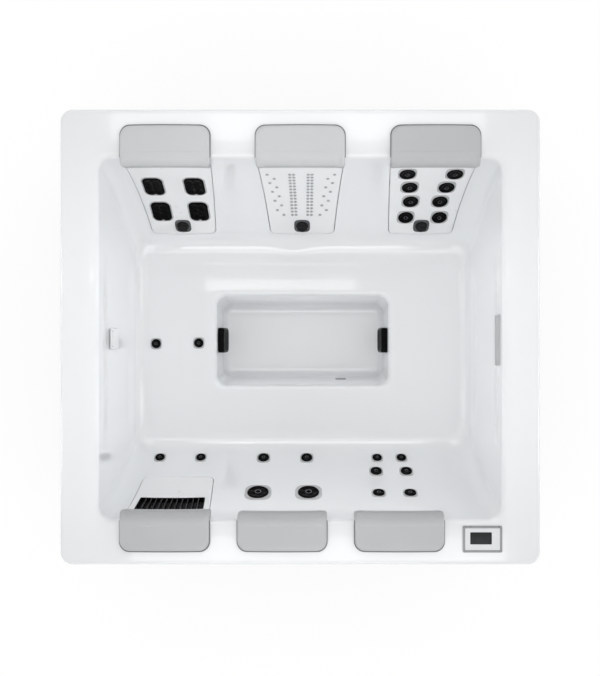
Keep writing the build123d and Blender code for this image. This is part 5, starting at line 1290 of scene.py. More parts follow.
@dataclass(frozen=True)
class WallJets:
    """Jets of the front wall and the left seat: plates, bodies and turning faces."""

    def places(self) -> list[tuple[Place, JetSize]]:
        """Spots and sizes of all fourteen jets."""
        found = [(on_wall(FRONT_WALL, TO_FRONT, x, deep), size) for x, deep, size in FRONT_JETS]
        for x, y in ((-800, -34), (-567, -30)):
            found.append((level_place(x, y, HEIGHT - SEAT), JetSize.SMALL))
        return found

    def trim(self, batch: Batch, place: Place, size: JetSize) -> None:
        """Plate with a round bore, barrel, nut and closed tail behind the wall.

        The plate's rings turn from a squarish outline to a circle on the way in.

        Args:
            batch: where the surfaces go.
            place: the jet's spot.
            size: its size.
        """
        face, rim = size.value
        bore, barrel, tail = face + 0.5, face + 4, (face + 4) * 0.6
        square, circle = oval(1, 1, 3.2, 64), oval(1, 1, 2, 64)
        rings = []
        for radius, tall, share in (
            (rim, -1.5, 1), (rim, 1.6, 1), (rim - 0.9, 3.0, 1), (rim - 2.4, 3.8, 0.9),
            ((rim + bore) / 2, 4.2, 0.5), (bore + 0.8, 4.0, 0.1), (bore, 3.2, 0), (bore, -20, 0),
            (bore, -26, 0),
        ):
            outline = radius * (square * share + circle * (1 - share))
            rings.append(lifted(outline, tall))
        batch.loft(place.put(np.stack(rings)), start=False)
        back = [(rim, -1.5), (barrel, -1.6), (barrel, -12), (barrel + 5, -12), (barrel + 5, -24),
                (barrel, -24), (barrel, -29), (tail, -32), (tail, -66), (tail * 0.6, -66)]
        shares = [1.0] + [0.0] * (len(back) - 1)
        rings = [
            lifted(radius * (square * s + circle * (1 - s)), tall)
            for (radius, tall), s in zip(back, shares)
        ]
        batch.loft(place.put(np.stack(rings)), start=False)
        self.barbs(batch, place, tail)

    def barbs(self, batch: Batch, place: Place, tail: float) -> None:
        """Two hose barbs across the tail, turned with four ridges."""
        along = np.linspace(0, 30, 17)
        ridged = 8 + 1.0 * (1 - (along / 7.5) % 1)
        for sign in (-1, 1):
            turn = oval(1, 1, 2, 20)
            rings = np.empty((len(along), 20, 3))
            rings[..., 0] = sign * (tail - 4 + along[:, None] + 4 * (along[:, None] > 0))
            rings[..., 1] = ridged[:, None] * turn[None, :, 0]
            rings[..., 2] = -48 + ridged[:, None] * turn[None, :, 1]
            batch.loft(place.put(rings))

    def face(self, number: int, place: Place, size: JetSize) -> bpy.types.Object:
        """Turning face: rounded rim, five soft finger ribs, nozzle with a light ring.

        The ribs add the square of a cosine of five times the angle between two radii.

        Args:
            number: the jet's number.
            place: its spot.
            size: its size.

        Returns:
            The face.
        """
        face = size.value[0]
        share = np.array([0.5, 1, 1, 1, 0.985, 0.955, 0.91, 0.85, 0.78, 0.7, 0.62, 0.53, 0.44,
                          0.36, 0.31, 0.27, 0.24, 0.23, 0.12])
        height = np.array([-20, -20, -8, 5.2, 7.0, 8.2, 8.6, 8.2, 7.0, 6.0, 5.4, 5.4, 6.0, 7.0,
                           7.6, 7.6, 6.8, 1.8, 1.4])
        rings = turned_rings(np.stack([share * face, height], 1), 60)
        angle = np.arctan2(rings[..., 1], rings[..., 0])
        ribs = bell(share, 0.4, 0.93, 0.14)[:, None] * np.cos(2.5 * angle) ** 4
        rings[..., 2] += 2.2 * ribs * (height > 4)[:, None]
        batch = Batch()
        batch.loft(place.put(rings))
        band = np.array([(0.3, 6.6), (0.295, 7.9), (0.272, 8.3), (0.25, 7.9), (0.245, 6.6)], float)
        band[:, 0] *= face
        batch.loft(place.put(turned_rings(band, 40)), 1, hoop=True)
        return batch.build(
            f"jet_ring_{number}", [JET_BLACK, NOZZLE], f"jet_face_{number}_ring", "jet_black",
            (f"jet_face_{number}",), 40,
        )

    def build(self) -> None:
        """All jets: one mesh of plates and bodies, and each face on its own body."""
        batch = Batch()
        for number, (place, size) in enumerate(self.places(), 1):
            self.trim(batch, place, size)
            self.face(number, place, size)
        batch.build("jet_trims", [TRIM_GREY], "tub", "fitting_grey", ("jet_bodies",), 40)


# -------------------------------------------------------------- filter bay


@dataclass(frozen=True)
class FilterBay:
    """Cover panel of the filter bay and the slatted window in it."""

    bay: Bay = FILTER_BAY
    top: float = 128.0
    low: float = -3.0
    half_top: float = 168.0
    half_low: float = 161.0
    bars: int = 11
    bow: float = 6.0

    def window(self, shrink: float) -> Array:
        """Outline of the window with as many points as the cover's outline."""
        corners = [
            (-self.half_low + shrink, self.low + shrink), (self.half_low - shrink, self.low + shrink),
            (self.half_top - shrink, self.top - shrink), (-self.half_top + shrink, self.top - shrink),
        ]
        points = rounded(np.array(corners), np.full(4, 9.0), 8, 26)
        sag = self.bow * (1 - (points[:, 0] / self.half_low) ** 2)
        points[:, 1] += np.clip(sag, 0, None) * (1 - eased(self.low, self.low + 50, points[:, 1]))
        return points

    def cover(self) -> bpy.types.Object:
        """Cover: rings from the back round the outer edge, over the face, into the window."""
        bay, outline, hole = self.bay, self.bay.outline(), self.window(0)
        rings = [bay.draped(hole, -16), bay.flat(hole * 1.02, -bay.back), bay.flat(outline, -bay.back)]
        rings.append(bay.draped(outline, -4.5))
        for turn in np.linspace(0, math.pi / 2, 5):
            by, drop = 3 * (1 - math.cos(turn)), 3 * (1 - math.sin(turn))
            rings.append(bay.draped(inset(outline, by), 2.5 - drop))
        face, mouth = inset(outline, 3), inset(hole, -2)
        for share in np.linspace(0, 1, 10)[1:]:
            rings.append(bay.draped(face * (1 - share) + mouth * share, 2.5))
        rings += [bay.draped(inset(hole, -0.6), 1.9), bay.draped(hole, 0.5)]
        batch = Batch()
        batch.loft(np.stack(rings), hoop=True)
        return batch.build(
            "filter_panel", [PACK_PLASTIC], "filter_door", "pack_white", ("filter_cover",), 30,
        )

    def grille(self) -> bpy.types.Object:
        """Black frame with upright slats over a dark sheet, painted shade behind the window, all on the wall's curve.
        """
        bay = self.bay
        outer, inner = self.window(0.6), self.window(6)
        batch = Batch()
        rings = [bay.draped(outer, -9), bay.draped(outer, 0.5), bay.draped(inset(outer, 1.2), 1.6),
                 bay.draped(inner, 1.6), bay.draped(inner, -9)]
        batch.loft(np.stack(rings), hoop=True)
        up = np.linspace(self.low + 5, self.top - 5, 12)
        over = bay.rise(up)[0]
        section = box_outline(1.5, 5.0, 1.2, 3, 0)
        step = (2 * self.half_low - 12) / (self.bars + 1)
        for index in range(self.bars):
            x = -self.half_low + 6 + step * (index + 1)
            rings = np.empty((len(up), len(section), 3))
            rings[..., 0] = x * (1 + 0.04 * (up[:, None] - self.low) / 103) + section[None, :, 0]
            rings[..., 1] = up[:, None]
            rings[..., 2] = over[:, None] - 3.2 + section[None, :, 1]
            batch.loft(bay.place().put(rings), 2)
        # Painted shade: the dark sheet behind the slats stands for the shade inside the bay.
        back = self.window(3)
        rings = [bay.draped(back, -15), bay.draped(back, -11), bay.draped(back * 0.6, -11)]
        batch.loft(np.stack(rings), 1)
        return batch.build(
            "filter_slats", [JET_BLACK, JET_BLACK, JET_DARK], "filter_door", "jet_black",
            ("filter_grille",), 40,
        )


# ----------------------------------------------------------------- pillows


@dataclass(frozen=True)
class Puff:
    """Cloth settings that fill a pillow: pressure, step count and how far it may swell."""

    voxel: float = 4.0
    pressure: float = 4.0
    frames: int = 20
    cap: float = 3.5

    def fill(self, piece: bpy.types.Object, held: Array) -> None:
        """Runs the cloth and keeps its shape, no point moved further than the cap.

        Args:
            piece: the remeshed pillow.
            held: weight from 0 to 1 of the hold on each point.
        """
        group = piece.vertex_groups.new(name="held")
        for step in range(11):
            chosen = np.flatnonzero(np.round(held * 10) == step)
            if step and len(chosen):
                group.add(chosen.tolist(), step / 10, "REPLACE")
        start = points_of(piece.data)
        cloth = piece.modifiers.new("cloth", "CLOTH")
        cloth.settings.use_pressure = True
        cloth.settings.uniform_pressure_force = self.pressure
        cloth.settings.effector_weights.gravity = 0
        cloth.settings.vertex_group_mass = "held"
        cloth.settings.quality = 5
        cloth.point_cache.frame_end = self.frames
        for step in range(1, self.frames + 1):
            bpy.context.scene.frame_set(step)
        ready = piece.evaluated_get(bpy.context.evaluated_depsgraph_get())
        moved = points_of(ready.data) - start
        piece.modifiers.clear()
        bpy.context.scene.frame_set(1)
        far = np.linalg.norm(moved, axis=1)[:, None]
        moved *= np.minimum(1, self.cap * MM / np.maximum(far, 1e-9))
        set_points(piece.data, start + moved)
        piece.vertex_groups.clear()


def points_of(mesh: bpy.types.Mesh) -> Array:
    """The mesh's points as an array."""
    flat = np.empty(len(mesh.vertices) * 3)
    mesh.vertices.foreach_get("co", flat)
    return flat.reshape(-1, 3)


def set_points(mesh: bpy.types.Mesh, points: Array) -> None:
    """Puts an array of points into the mesh."""
    mesh.vertices.foreach_set("co", points.ravel())
    mesh.update()


@dataclass(frozen=True)
class Pillow:
    """Head cushion over the rim and down the wall: section, plan corners and crown.

    Args:
        row: back or front.
        wall: the wall it hangs on.
        reach: how far it lies out over the rim.
        gap: its distance from the wall's face.
        shy: how much smaller it starts than its room.
    """

    row: str
    wall: Wall
    reach: float
    gap: float
    width: float = 417.0
    high: float = 34.0
    drop: float = 62.0
    shy: float = 2.0
    nose: float = 46.0
    # the nose's painted shade reaches this high over the rim
    band: float = 12.0
    cord: float = 3.0
    cord_up: float = 17.0

    def upper(self) -> tuple[Array, Array, Array]:
        """Upper path from the outer foot over the top to the lower inner edge.

        Straight edge, quarter ellipse, flat top, quarter ellipse and a sloped face.

        Returns:
            Distances from the middle, heights over the rim and the share of the crown.
        """
        outer = self.wall.line + self.reach - self.shy
        nose = self.wall.line - self.nose + self.shy
        foot = float(self.wall.reach(self.drop)) + 29 - self.nose + self.shy
        high = self.high - self.shy * 0.8
        turn = np.linspace(0, math.pi / 2, 9)
        rise = np.linspace(0.3, 20 - self.shy, 5)[:-1]
        away = [np.full(4, outer), outer - 30 + 30 * np.cos(turn)]
        tall = [rise, 20 - self.shy + (high - 20 + self.shy) * np.sin(turn)]
        flat = np.linspace(outer - 30, nose + 26, 16)[1:-1]
        away += [flat, nose + 26 - 26 * np.sin(turn)]
        tall += [np.full(14, high), 14 + (high - 14) * np.cos(turn)]
        slope = np.linspace(0, 1, 12)[1:]
        away.append(nose + (foot - nose) * slope)
        tall.append(14 + (-self.drop + 1 - 14) * slope)
        away, tall = np.concatenate(away), np.concatenate(tall)
        crown = np.ones(len(away))
        crown[:4] = np.linspace(0, 1, 5)[:-1]
        return away, tall, crown

    def lower(self, count: int, drop: Array) -> tuple[Array, Array]:
        """Lower path: along the rim, round the roll and down the wall, clear of each.

        Args:
            count: number of points.
            drop: depth of its end at each station.

        Returns:
            Distances and heights, stations by points.
        """
        outer = self.wall.line + self.reach - self.shy
        start = float(self.wall.reach(0))
        on_rim = count // 2
        rim = np.linspace(outer, start + 2, on_rim)
        depth = np.linspace(0.0, 1.0, count - on_rim)[None] ** 1.5 * drop[:, None]
        lean = self.wall.lean(depth)
        away = self.wall.reach(depth) - (self.gap + 0.6) * np.cos(lean)
        tall = -depth + (self.gap + 0.6) * np.sin(lean)
        rim_away = np.tile(rim, (len(drop), 1))
        return np.hstack([rim_away, away]), np.hstack([np.full_like(rim_away, 0.5), tall])

    def surface(self) -> tuple[Array, Array]:
        """Upper and lower points over stations along the pillow.

        Near each end the plan's corners pull the outer and inner edges in by a circle's
        height, and the crown lowers the top by the square of x over twice its radius.

        Returns:
            Upper and lower grids, stations by points, about x = 0.
        """
        half = self.width / 2 - self.shy * 0.6
        x = half * np.sin(np.linspace(-math.pi / 2, math.pi / 2, 61))
        away, tall, share = self.upper()
        crown = x**2 / 5200
        low_away, low_tall = self.lower(len(away), self.drop - 1 + crown)
        over = np.clip((np.abs(x) - (half - 46)) / 46, 0, 1)
        pull_out = 46 * (1 - np.sqrt(1 - over**2 * 0.9999))
        over = np.clip((np.abs(x) - (half - 12)) / 12, 0, 1)
        pull_in = 12 * (1 - np.sqrt(1 - over**2 * 0.9999))
        nose, outer = away.min(), away.max()
        place = (away - nose) / (outer - nose)
        top_away = away[None] - pull_out[:, None] * place[None] ** 0.7
        weight = (1 - place) * (0.25 + 0.75 * eased(-40, 14, tall))
        top_away = top_away + pull_in[:, None] * weight[None]
        top_tall = tall[None] - crown[:, None] * share[None]
        low_place = np.clip((low_away - nose) / (outer - nose), 0, 1)
        low_away = low_away - pull_out[:, None] * np.where(low_tall > 0.2, low_place**0.7, 0)
        wide = np.broadcast_to(x[:, None], top_away.shape)
        top = np.stack([wide, top_away, top_tall + HEIGHT], -1)
        return top, np.stack([wide, low_away, low_tall + HEIGHT], -1)

    def filled(self, puff: Puff) -> bpy.types.Mesh:
        """Mesh of the pillow, remeshed and swelled by the cloth, about x = 0."""
        top, low = self.surface()
        batch = Batch()
        batch.slab(top, low)
        piece = batch.build(f"pillow_form_{self.row}", [])
        remesh = piece.modifiers.new("even", "REMESH")
        remesh.mode = "VOXEL"
        remesh.voxel_size = puff.voxel * MM
        settle = piece.modifiers.new("settle", "SMOOTH")
        settle.factor = 0.5
        settle.iterations = 2
        frozen(piece)
        points = points_of(piece.data) / MM
        depth = np.clip(HEIGHT - points[:, 2], 0, None)
        clear = self.wall.reach(depth) - points[:, 1]
        on_rim = (points[:, 2] - HEIGHT < 4) & (points[:, 1] > self.wall.line)
        held = np.clip(np.where(on_rim | (clear < 6), 1.0, 0.0), 0, 1)
        puff.fill(piece, held)
        mesh = piece.data
        bpy.data.objects.remove(piece)
        self.nose_shaded(mesh)
        return mesh

    def nose_shaded(self, mesh: bpy.types.Mesh) -> None:
        """Gives the second finish, a darker vinyl that is painted shade, to the faces along the foot of the nose."""
        count = len(mesh.polygons)
        centre, normal = np.empty(count * 3), np.empty(count * 3)
        mesh.polygons.foreach_get("center", centre)
        mesh.polygons.foreach_get("normal", normal)
        centre, normal = centre.reshape(-1, 3) / MM, normal.reshape(-1, 3)
        nose = (centre[:, 1] < self.wall.line - self.nose + 24) & (normal[:, 2] < 0.5)
        mesh.polygons.foreach_set(
            "material_index", (nose & (centre[:, 2] < HEIGHT + self.band)).astype(int)
        )

    def shade_cord(self, x: float, body: str, name: str) -> bpy.types.Object:
        """Dark cord along the ends and the outer edge, following the crown's fall; its dark colour is painted shade
        along the pillow's edge.

        Circles about the path: across it by the side direction, upright by +Z.

        Args:
            x: place along the wall.
            body: the pillow's body.
            name: the cord's name.

        Returns:
            The cord.
        """
        half, inner, outer = self.width / 2, self.wall.line - 8, self.wall.line + self.reach
        corners = [(-half, inner), (half, inner), (half, outer), (-half, outer)]
        ring = rounded(np.array(corners), np.array([1, 1, 46, 46.0]), 14, 14)
        path = ring[(ring[:, 1] > inner + 1.5)]
        first = int(np.argmax(np.hypot(*(path - np.roll(path, 1, 0)).T)))
        path = np.roll(path, -first, 0)
        height = HEIGHT + self.cord_up - path[:, 0] ** 2 / 5200
        way = np.gradient(path, axis=0)
        way /= np.hypot(way[:, 0], way[:, 1])[:, None]
        side = np.stack([way[:, 1], -way[:, 0], np.zeros(len(way))], 1)
        turn = oval(self.cord, self.cord, 2, 14)
        rings = np.concatenate([path, height[:, None]], 1)[:, None] + turn[None, :, :1] * side[:, None]
        rings[..., 2] += turn[None, :, 1]
        if self.row == "front":
            rings[..., :2] *= -1
        rings[..., 0] += x
        batch = Batch()
        batch.loft(rings)
        return batch.build(name, [VINYL_EDGE_SHADE], body, "pillow_grey", angle=60)

    def finish(self, side: str) -> Finish:
        """Vinyl of a pillow: the front row and the right one get a darker copy, painted shade.

        Painted shade: the colour darkens towards the nose, further and more in the front row.

        Args:
            side: left, middle or right.

        Returns:
            The finish.
        """
        vinyl = VINYL_PAINTED_SHADE if self.row == "front" or side == "right" else VINYL
        sign, width, least = (-1, 60, 0.74) if self.row == "front" else (1, 32, 0.86)
        nose = sign * (self.wall.line - self.nose)
        name = f"{vinyl.name}_{self.row}_{self.nose:.0f}"
        return replace(vinyl, name=name, painted_shade=(nose + sign * width, nose, least))

    def shade_outline(self, x: float, body: str, name: str) -> bpy.types.Object:
        """Thin dark plate under the pillow's flat part, a little wider than it; its dark rim is painted shade round
        the pillow's edge.

        Args:
            x: place along the wall.
            body: the pillow's body.
            name: the plate's name.

        Returns:
            The plate.
        """
        half, inner, outer = self.width / 2 + 1.5, self.wall.line + 12, self.wall.line + self.reach + 1.5
        corners = [(-half, inner), (half, inner), (half, outer), (-half, outer)]
        outline = rounded(np.array(corners), np.array([3, 3, 47, 47.0]), 10, 6)
        if self.row == "front":
            outline = -outline
        outline[:, 0] += x
        rings = [(30, 0.3), (0, 0.3), (0, 2.0), (0.8, 2.8), (30, 2.8)]
        batch = Batch()
        batch.loft(np.stack([lifted(inset(outline, by), HEIGHT + tall) for by, tall in rings]), hoop=True)
        return batch.build(name, [OUTLINE_SHADE], body, "pillow_grey", angle=40)


@dataclass(frozen=True)
class Pillows:
    """The six pillows: three over the back wall's packs, three on the front wall."""

    puff: Puff = Puff()

    def put(self, form: Pillow, mesh: bpy.types.Mesh, side: str, x: float) -> bpy.types.Object:
        """One pillow: the filled mesh turned to its wall and moved along it.

        Args:
            form: the pillow's sizes.
            mesh: its filled mesh.
            side: left, middle or right.
            x: place along the wall.

        Returns:
            The pillow.
        """
        row = form.row
        own = mesh.copy()
        points = points_of(own)
        if row == "front":
            points[:, :2] *= -1
        points[:, 0] += x * MM
        set_points(own, points)
        name = f"pillow_{row}_{side}"
        piece = bpy.data.objects.new(f"cushion_{row}_{side}", own)
        bpy.context.scene.collection.objects.link(piece)
        own.materials.append(form.finish(side).material())
        own.materials.append(VINYL_NOSE_SHADE.material())
        own.polygons.foreach_set("use_smooth", [True] * len(own.polygons))
        smoothed(piece)
        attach(piece, f"{name}_pad")
        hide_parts(name)
        form.shade_outline(x, f"{name}_pad", f"pillow_plate_{row}_{side}")
        form.shade_cord(x, f"{name}_pad", f"pillow_piping_{row}_{side}")
        return piece

    def build(self) -> None:
        """Fills one pillow of each kind and lays out all six."""
        for form, spots in (
            (Pillow("back", BACK_WALL, 150, 3.4), (("left", -628), ("middle", 0), ("right", 630))),
            (Pillow("front", FRONT_WALL, 143, 0.9), (("middle", -84), ("right", 461))),
            (Pillow("front", FRONT_WALL, 143, 3.4, nose=53.0), (("left", -630),)),
        ):
            mesh = form.filled(self.puff)
            for side, x in spots:
                self.put(form, mesh, side, x)


# ---------------------------------------------------------------- fittings


@dataclass(frozen=True)
class Keypad:
    """Control panel on the rim: frame, sunk face and dark screen."""

    x: float = 848.0
    y: float = -940.5
    half_x: float = 92.0
    half_y: float = 62.0

    def build(self) -> None:
        """Frame and face as lofted rounded rectangles; screen in its own piece."""
        place = level_place(self.x, self.y, HEIGHT)
        outer = box_outline(self.half_x, self.half_y, 7)
        inner = box_outline(self.half_x - 11, self.half_y - 11, 4)
        frame_path = [(0, 0.1), (0, 3.4), (0.4, 4.4), (1.4, 5), (9.8, 5), (10.6, 4.6)]
        rings = [lifted(inset(outer, by), tall) for by, tall in frame_path]
        rings += [lifted(inner, 3.9), lifted(inner, 0.2)]
        batch = Batch()
        batch.loft(place.put(np.stack(rings)), hoop=True)
        face = [lifted(inner * s, t) for s, t in ((0.6, 0.4), (0.998, 0.4), (0.998, 3.7), (0.99, 3.9))]
        screen = box_outline(50.8, 28.8, 3.4)
        screen[:, 0] -= 7
        screen[:, 1] += 4
        face += [lifted(screen * 0.5 + inner * 0.5, 3.9), lifted(screen, 3.9), lifted(screen, 2.4)]
        batch.loft(place.put(np.stack(face)), 1)
        for index in range(4):
            dot = place.moved(66, 24 - 16 * index, 3.9)
            batch.loft(dot.put(turned_rings(np.array([(3.4, -0.4), (3.3, 0.5), (2.6, 0.9), (1, 1.0)]), 20)), 1)
        tray = [box_outline(70, 40, 6) * s for s in (0.5, 1, 1, 0.5)]
        rings = [lifted(o, t) for o, t in zip(tray, (-20, -20, -0.2, -0.2))]
        batch.loft(place.put(np.stack(rings)))
        batch.build(
            "keypad_housing", [KEYPAD_FRAME, KEYPAD_FACE], "tub", "fitting_grey",
            ("keypad_bezel",), 35,
        )
        glass = Batch()
        pane = box_outline(50, 28, 3)
        spot = place.moved(-7, 4, 0)
        rings = [lifted(pane * s, t) for s, t in ((0.5, 1.6), (1, 1.6), (1, 3.2), (0.99, 3.5), (0.9, 3.6), (0.4, 3.6))]
        glass.loft(spot.put(np.stack(rings)))
        glass.build("keypad_pane", [SCREEN], "tub", "screen", ("keypad_screen",), 35)


@dataclass(frozen=True)
class Spout:
    """Waterfall spout on the right wall: a rounded bar with a slot along its upper edge."""

    y: float = -14.0
    depth: float = 62.0
    half_long: float = 120.0

    def build(self) -> bpy.types.Object:
        """Bar section carried along the wall, its ends closed, with a dark insert in its slot that is painted shade.
        """
        place = on_wall(SIDE_WALL, TO_RIGHT, self.y, self.depth)
        outline = rounded_path(
            [(-17, 0.3), (-17, 15), (-12, 20), (3, 20), (4.5, 18), (4.5, 6), (11, 6), (11, 18),
             (12.5, 20), (15.5, 20), (17, 15), (17, 0.3)], 2.5,
        )
        back = np.stack([np.linspace(-17, 17, len(outline)), np.full(len(outline), 0.3)], 1)
        station = self.half_long * np.array([-1, -0.985, -0.96, -0.5, 0, 0.5, 0.96, 0.985, 1])
        scale = np.array([0.82, 0.94, 1, 1, 1, 1, 1, 0.94, 0.82])
        batch = Batch()
        batch.slab(*(self.carried(place, path, station, scale) for path in (outline, back)))
        # Painted shade: a dark insert fills the slot where its inside would be in shade.
        slot = box_outline(3.2, 3, 1, 3, 0)
        run = self.carried(place, slot + np.array([7.8, 6.5]), station[2:7], scale[2:7])
        batch.loft(run, 1)
        stem = np.array([(6, 1), (16, 1), (16, -37), (6, -37)], float)
        batch.loft(place.put(turned_rings(stem, 32)))
        return batch.build("spout_bar", [FITTING, JET_DARK], "tub", "fitting_grey", ("water_spout",), 40)

    @staticmethod
    def carried(place: Place, path: Array, station: Array, scale: Array) -> Array:
        """Section path of (up, out) carried to stations across the spot, scaled at each."""
        grid = np.empty((len(station), len(path), 3))
        grid[..., 0] = station[:, None]
        grid[..., 1] = path[None, :, 0] * scale[:, None]
        grid[..., 2] = path[None, :, 1] * scale[:, None] + 0.3 * (1 - scale[:, None])
        return place.put(grid)


@dataclass(frozen=True)
class Plates:
    """Small plate on the left wall and the slim inlet in the footwell."""

    def plate(self) -> bpy.types.Object:
        """Square plate with a chamfered edge and a slot near its top, grey inside as painted shade."""
        place = on_wall(SIDE_WALL, TO_LEFT, -8, 238)
        outline = box_outline(51, 54, 8)
        path = [(0, 0.3), (0, 3.4), (0.8, 4.8), (2.4, 5.8), (4, 6.2)]
        rings = [lifted(inset(outline, by), tall) for by, tall in path]
        rings += [lifted(outline * s, 6.3) for s in (0.7, 0.3)]
        batch = Batch()
        batch.loft(place.put(np.stack(rings)))
        # Painted shade: the slot's shallow recess is grey where its inside would be in shade.
        slot = box_outline(39, 6, 4)
        spot = place.moved(0, 40, 4)
        rings = [lifted(slot * s, t) for s, t in ((0.5, 0), (1.03, 0), (1.03, 2.7), (0.97, 2.7), (0.95, 1.4), (0.3, 1.4))]
        batch.loft(spot.put(np.stack(rings)), 1)
        stem = np.array([(6, 1), (20, 1), (20, -37), (6, -37)], float)
        batch.loft(place.put(turned_rings(stem, 32)))
        return batch.build("wall_plate", [PACK_PLASTIC, NOZZLE], "tub", "fitting_grey", ("side_fitting",), 40)

    def inlet(self) -> bpy.types.Object:
        """Slim oval inlet with a dark mouth."""
        place = on_wall(WELL_FRONT, TO_FRONT, 214, 742)
        outline = box_outline(31, 11, 10.5)
        path = [(0, 0.3), (0, 3), (0.8, 4.4), (2.2, 5), (3.6, 5), (4.2, 4), (4.4, 2)]
        rings = [lifted(inset(outline, by), tall) for by, tall in path]
        batch = Batch()
        batch.loft(place.put(np.stack(rings)))
        mouth = box_outline(26, 6, 5.6)
        rings = [lifted(mouth * s, t) for s, t in ((1, 1.5), (1, 2.6), (0.6, 2.8))]
        batch.loft(place.put(np.stack(rings)), 1)
        stem = np.array([(3, 1), (9, 1), (9, -37), (3, -37)], float)
        batch.loft(place.put(turned_rings(stem, 24)))
        return batch.build("inlet_slot", [FITTING, JET_BLACK], "tub", "fitting_grey", ("footwell_inlet",), 40)


@dataclass(frozen=True)
class Suction:
    """Squarish slotted suction covers on the footwell's side walls."""

    half: float = 70.0
    high: float = 34.0
    slots: int = 9

    def cover(self, batch: Batch, place: Place) -> None:
        """One cover: a squarish block read on a grid, its edge rounded, its slots sunk in.

        A square grid is drawn in at its corners by the ratio of a superellipse to the
        square. The height falls as an ellipse at the edge and drops in each slot, an eased
        window of the height above and below the slot's middle.

        Args:
            batch: where the surfaces go.
            place: spot on the wall.
        """
        v, u = np.meshgrid(np.linspace(-1, 1, 145), np.linspace(-1, 1, 45), indexing="ij")
        far = np.maximum(np.abs(u), np.abs(v))
        size = (np.abs(u) ** 6 + np.abs(v) ** 6 + 1e-12) ** (1 / 6)
        x, y = u * far / size, v * far / size
        edge = np.clip((far - 0.86) / 0.14, 0, 1)
        tall = self.high - 10 * (1 - np.sqrt(1 - edge**2 * 0.9999))
        up = self.half * y
        step = (up / 12 + 0.5) % 1 - 0.5
        sunk = (1 - eased(0.16, 0.25, np.abs(step))) * (1 - eased(0.78, 0.82, np.abs(u)))
        tall = tall - 10 * sunk * (np.abs(up) < 12 * (self.slots / 2))
        grid = np.stack([x * self.half, up, tall], -1)
        batch.sheet(place.put(grid))
        rim = np.concatenate([grid[0, :-1], grid[:-1, -1], grid[-1, :0:-1], grid[:0:-1, 0]])
        foot = rim.copy()
        foot[:, 2] = 0.6
        batch.loft(place.put(np.stack([rim, foot])), start=False)

    def build(self) -> bpy.types.Object:
        """Both covers."""
        batch = Batch()
        for out in (TO_LEFT, TO_RIGHT):
            self.cover(batch, on_wall(WELL_SIDE, out, -15, 720))
        return batch.build("suction_caps", [JET_BLACK], "tub", "jet_black", ("suction_covers",), 40)


# ----------------------------------------------------------------- cabinet


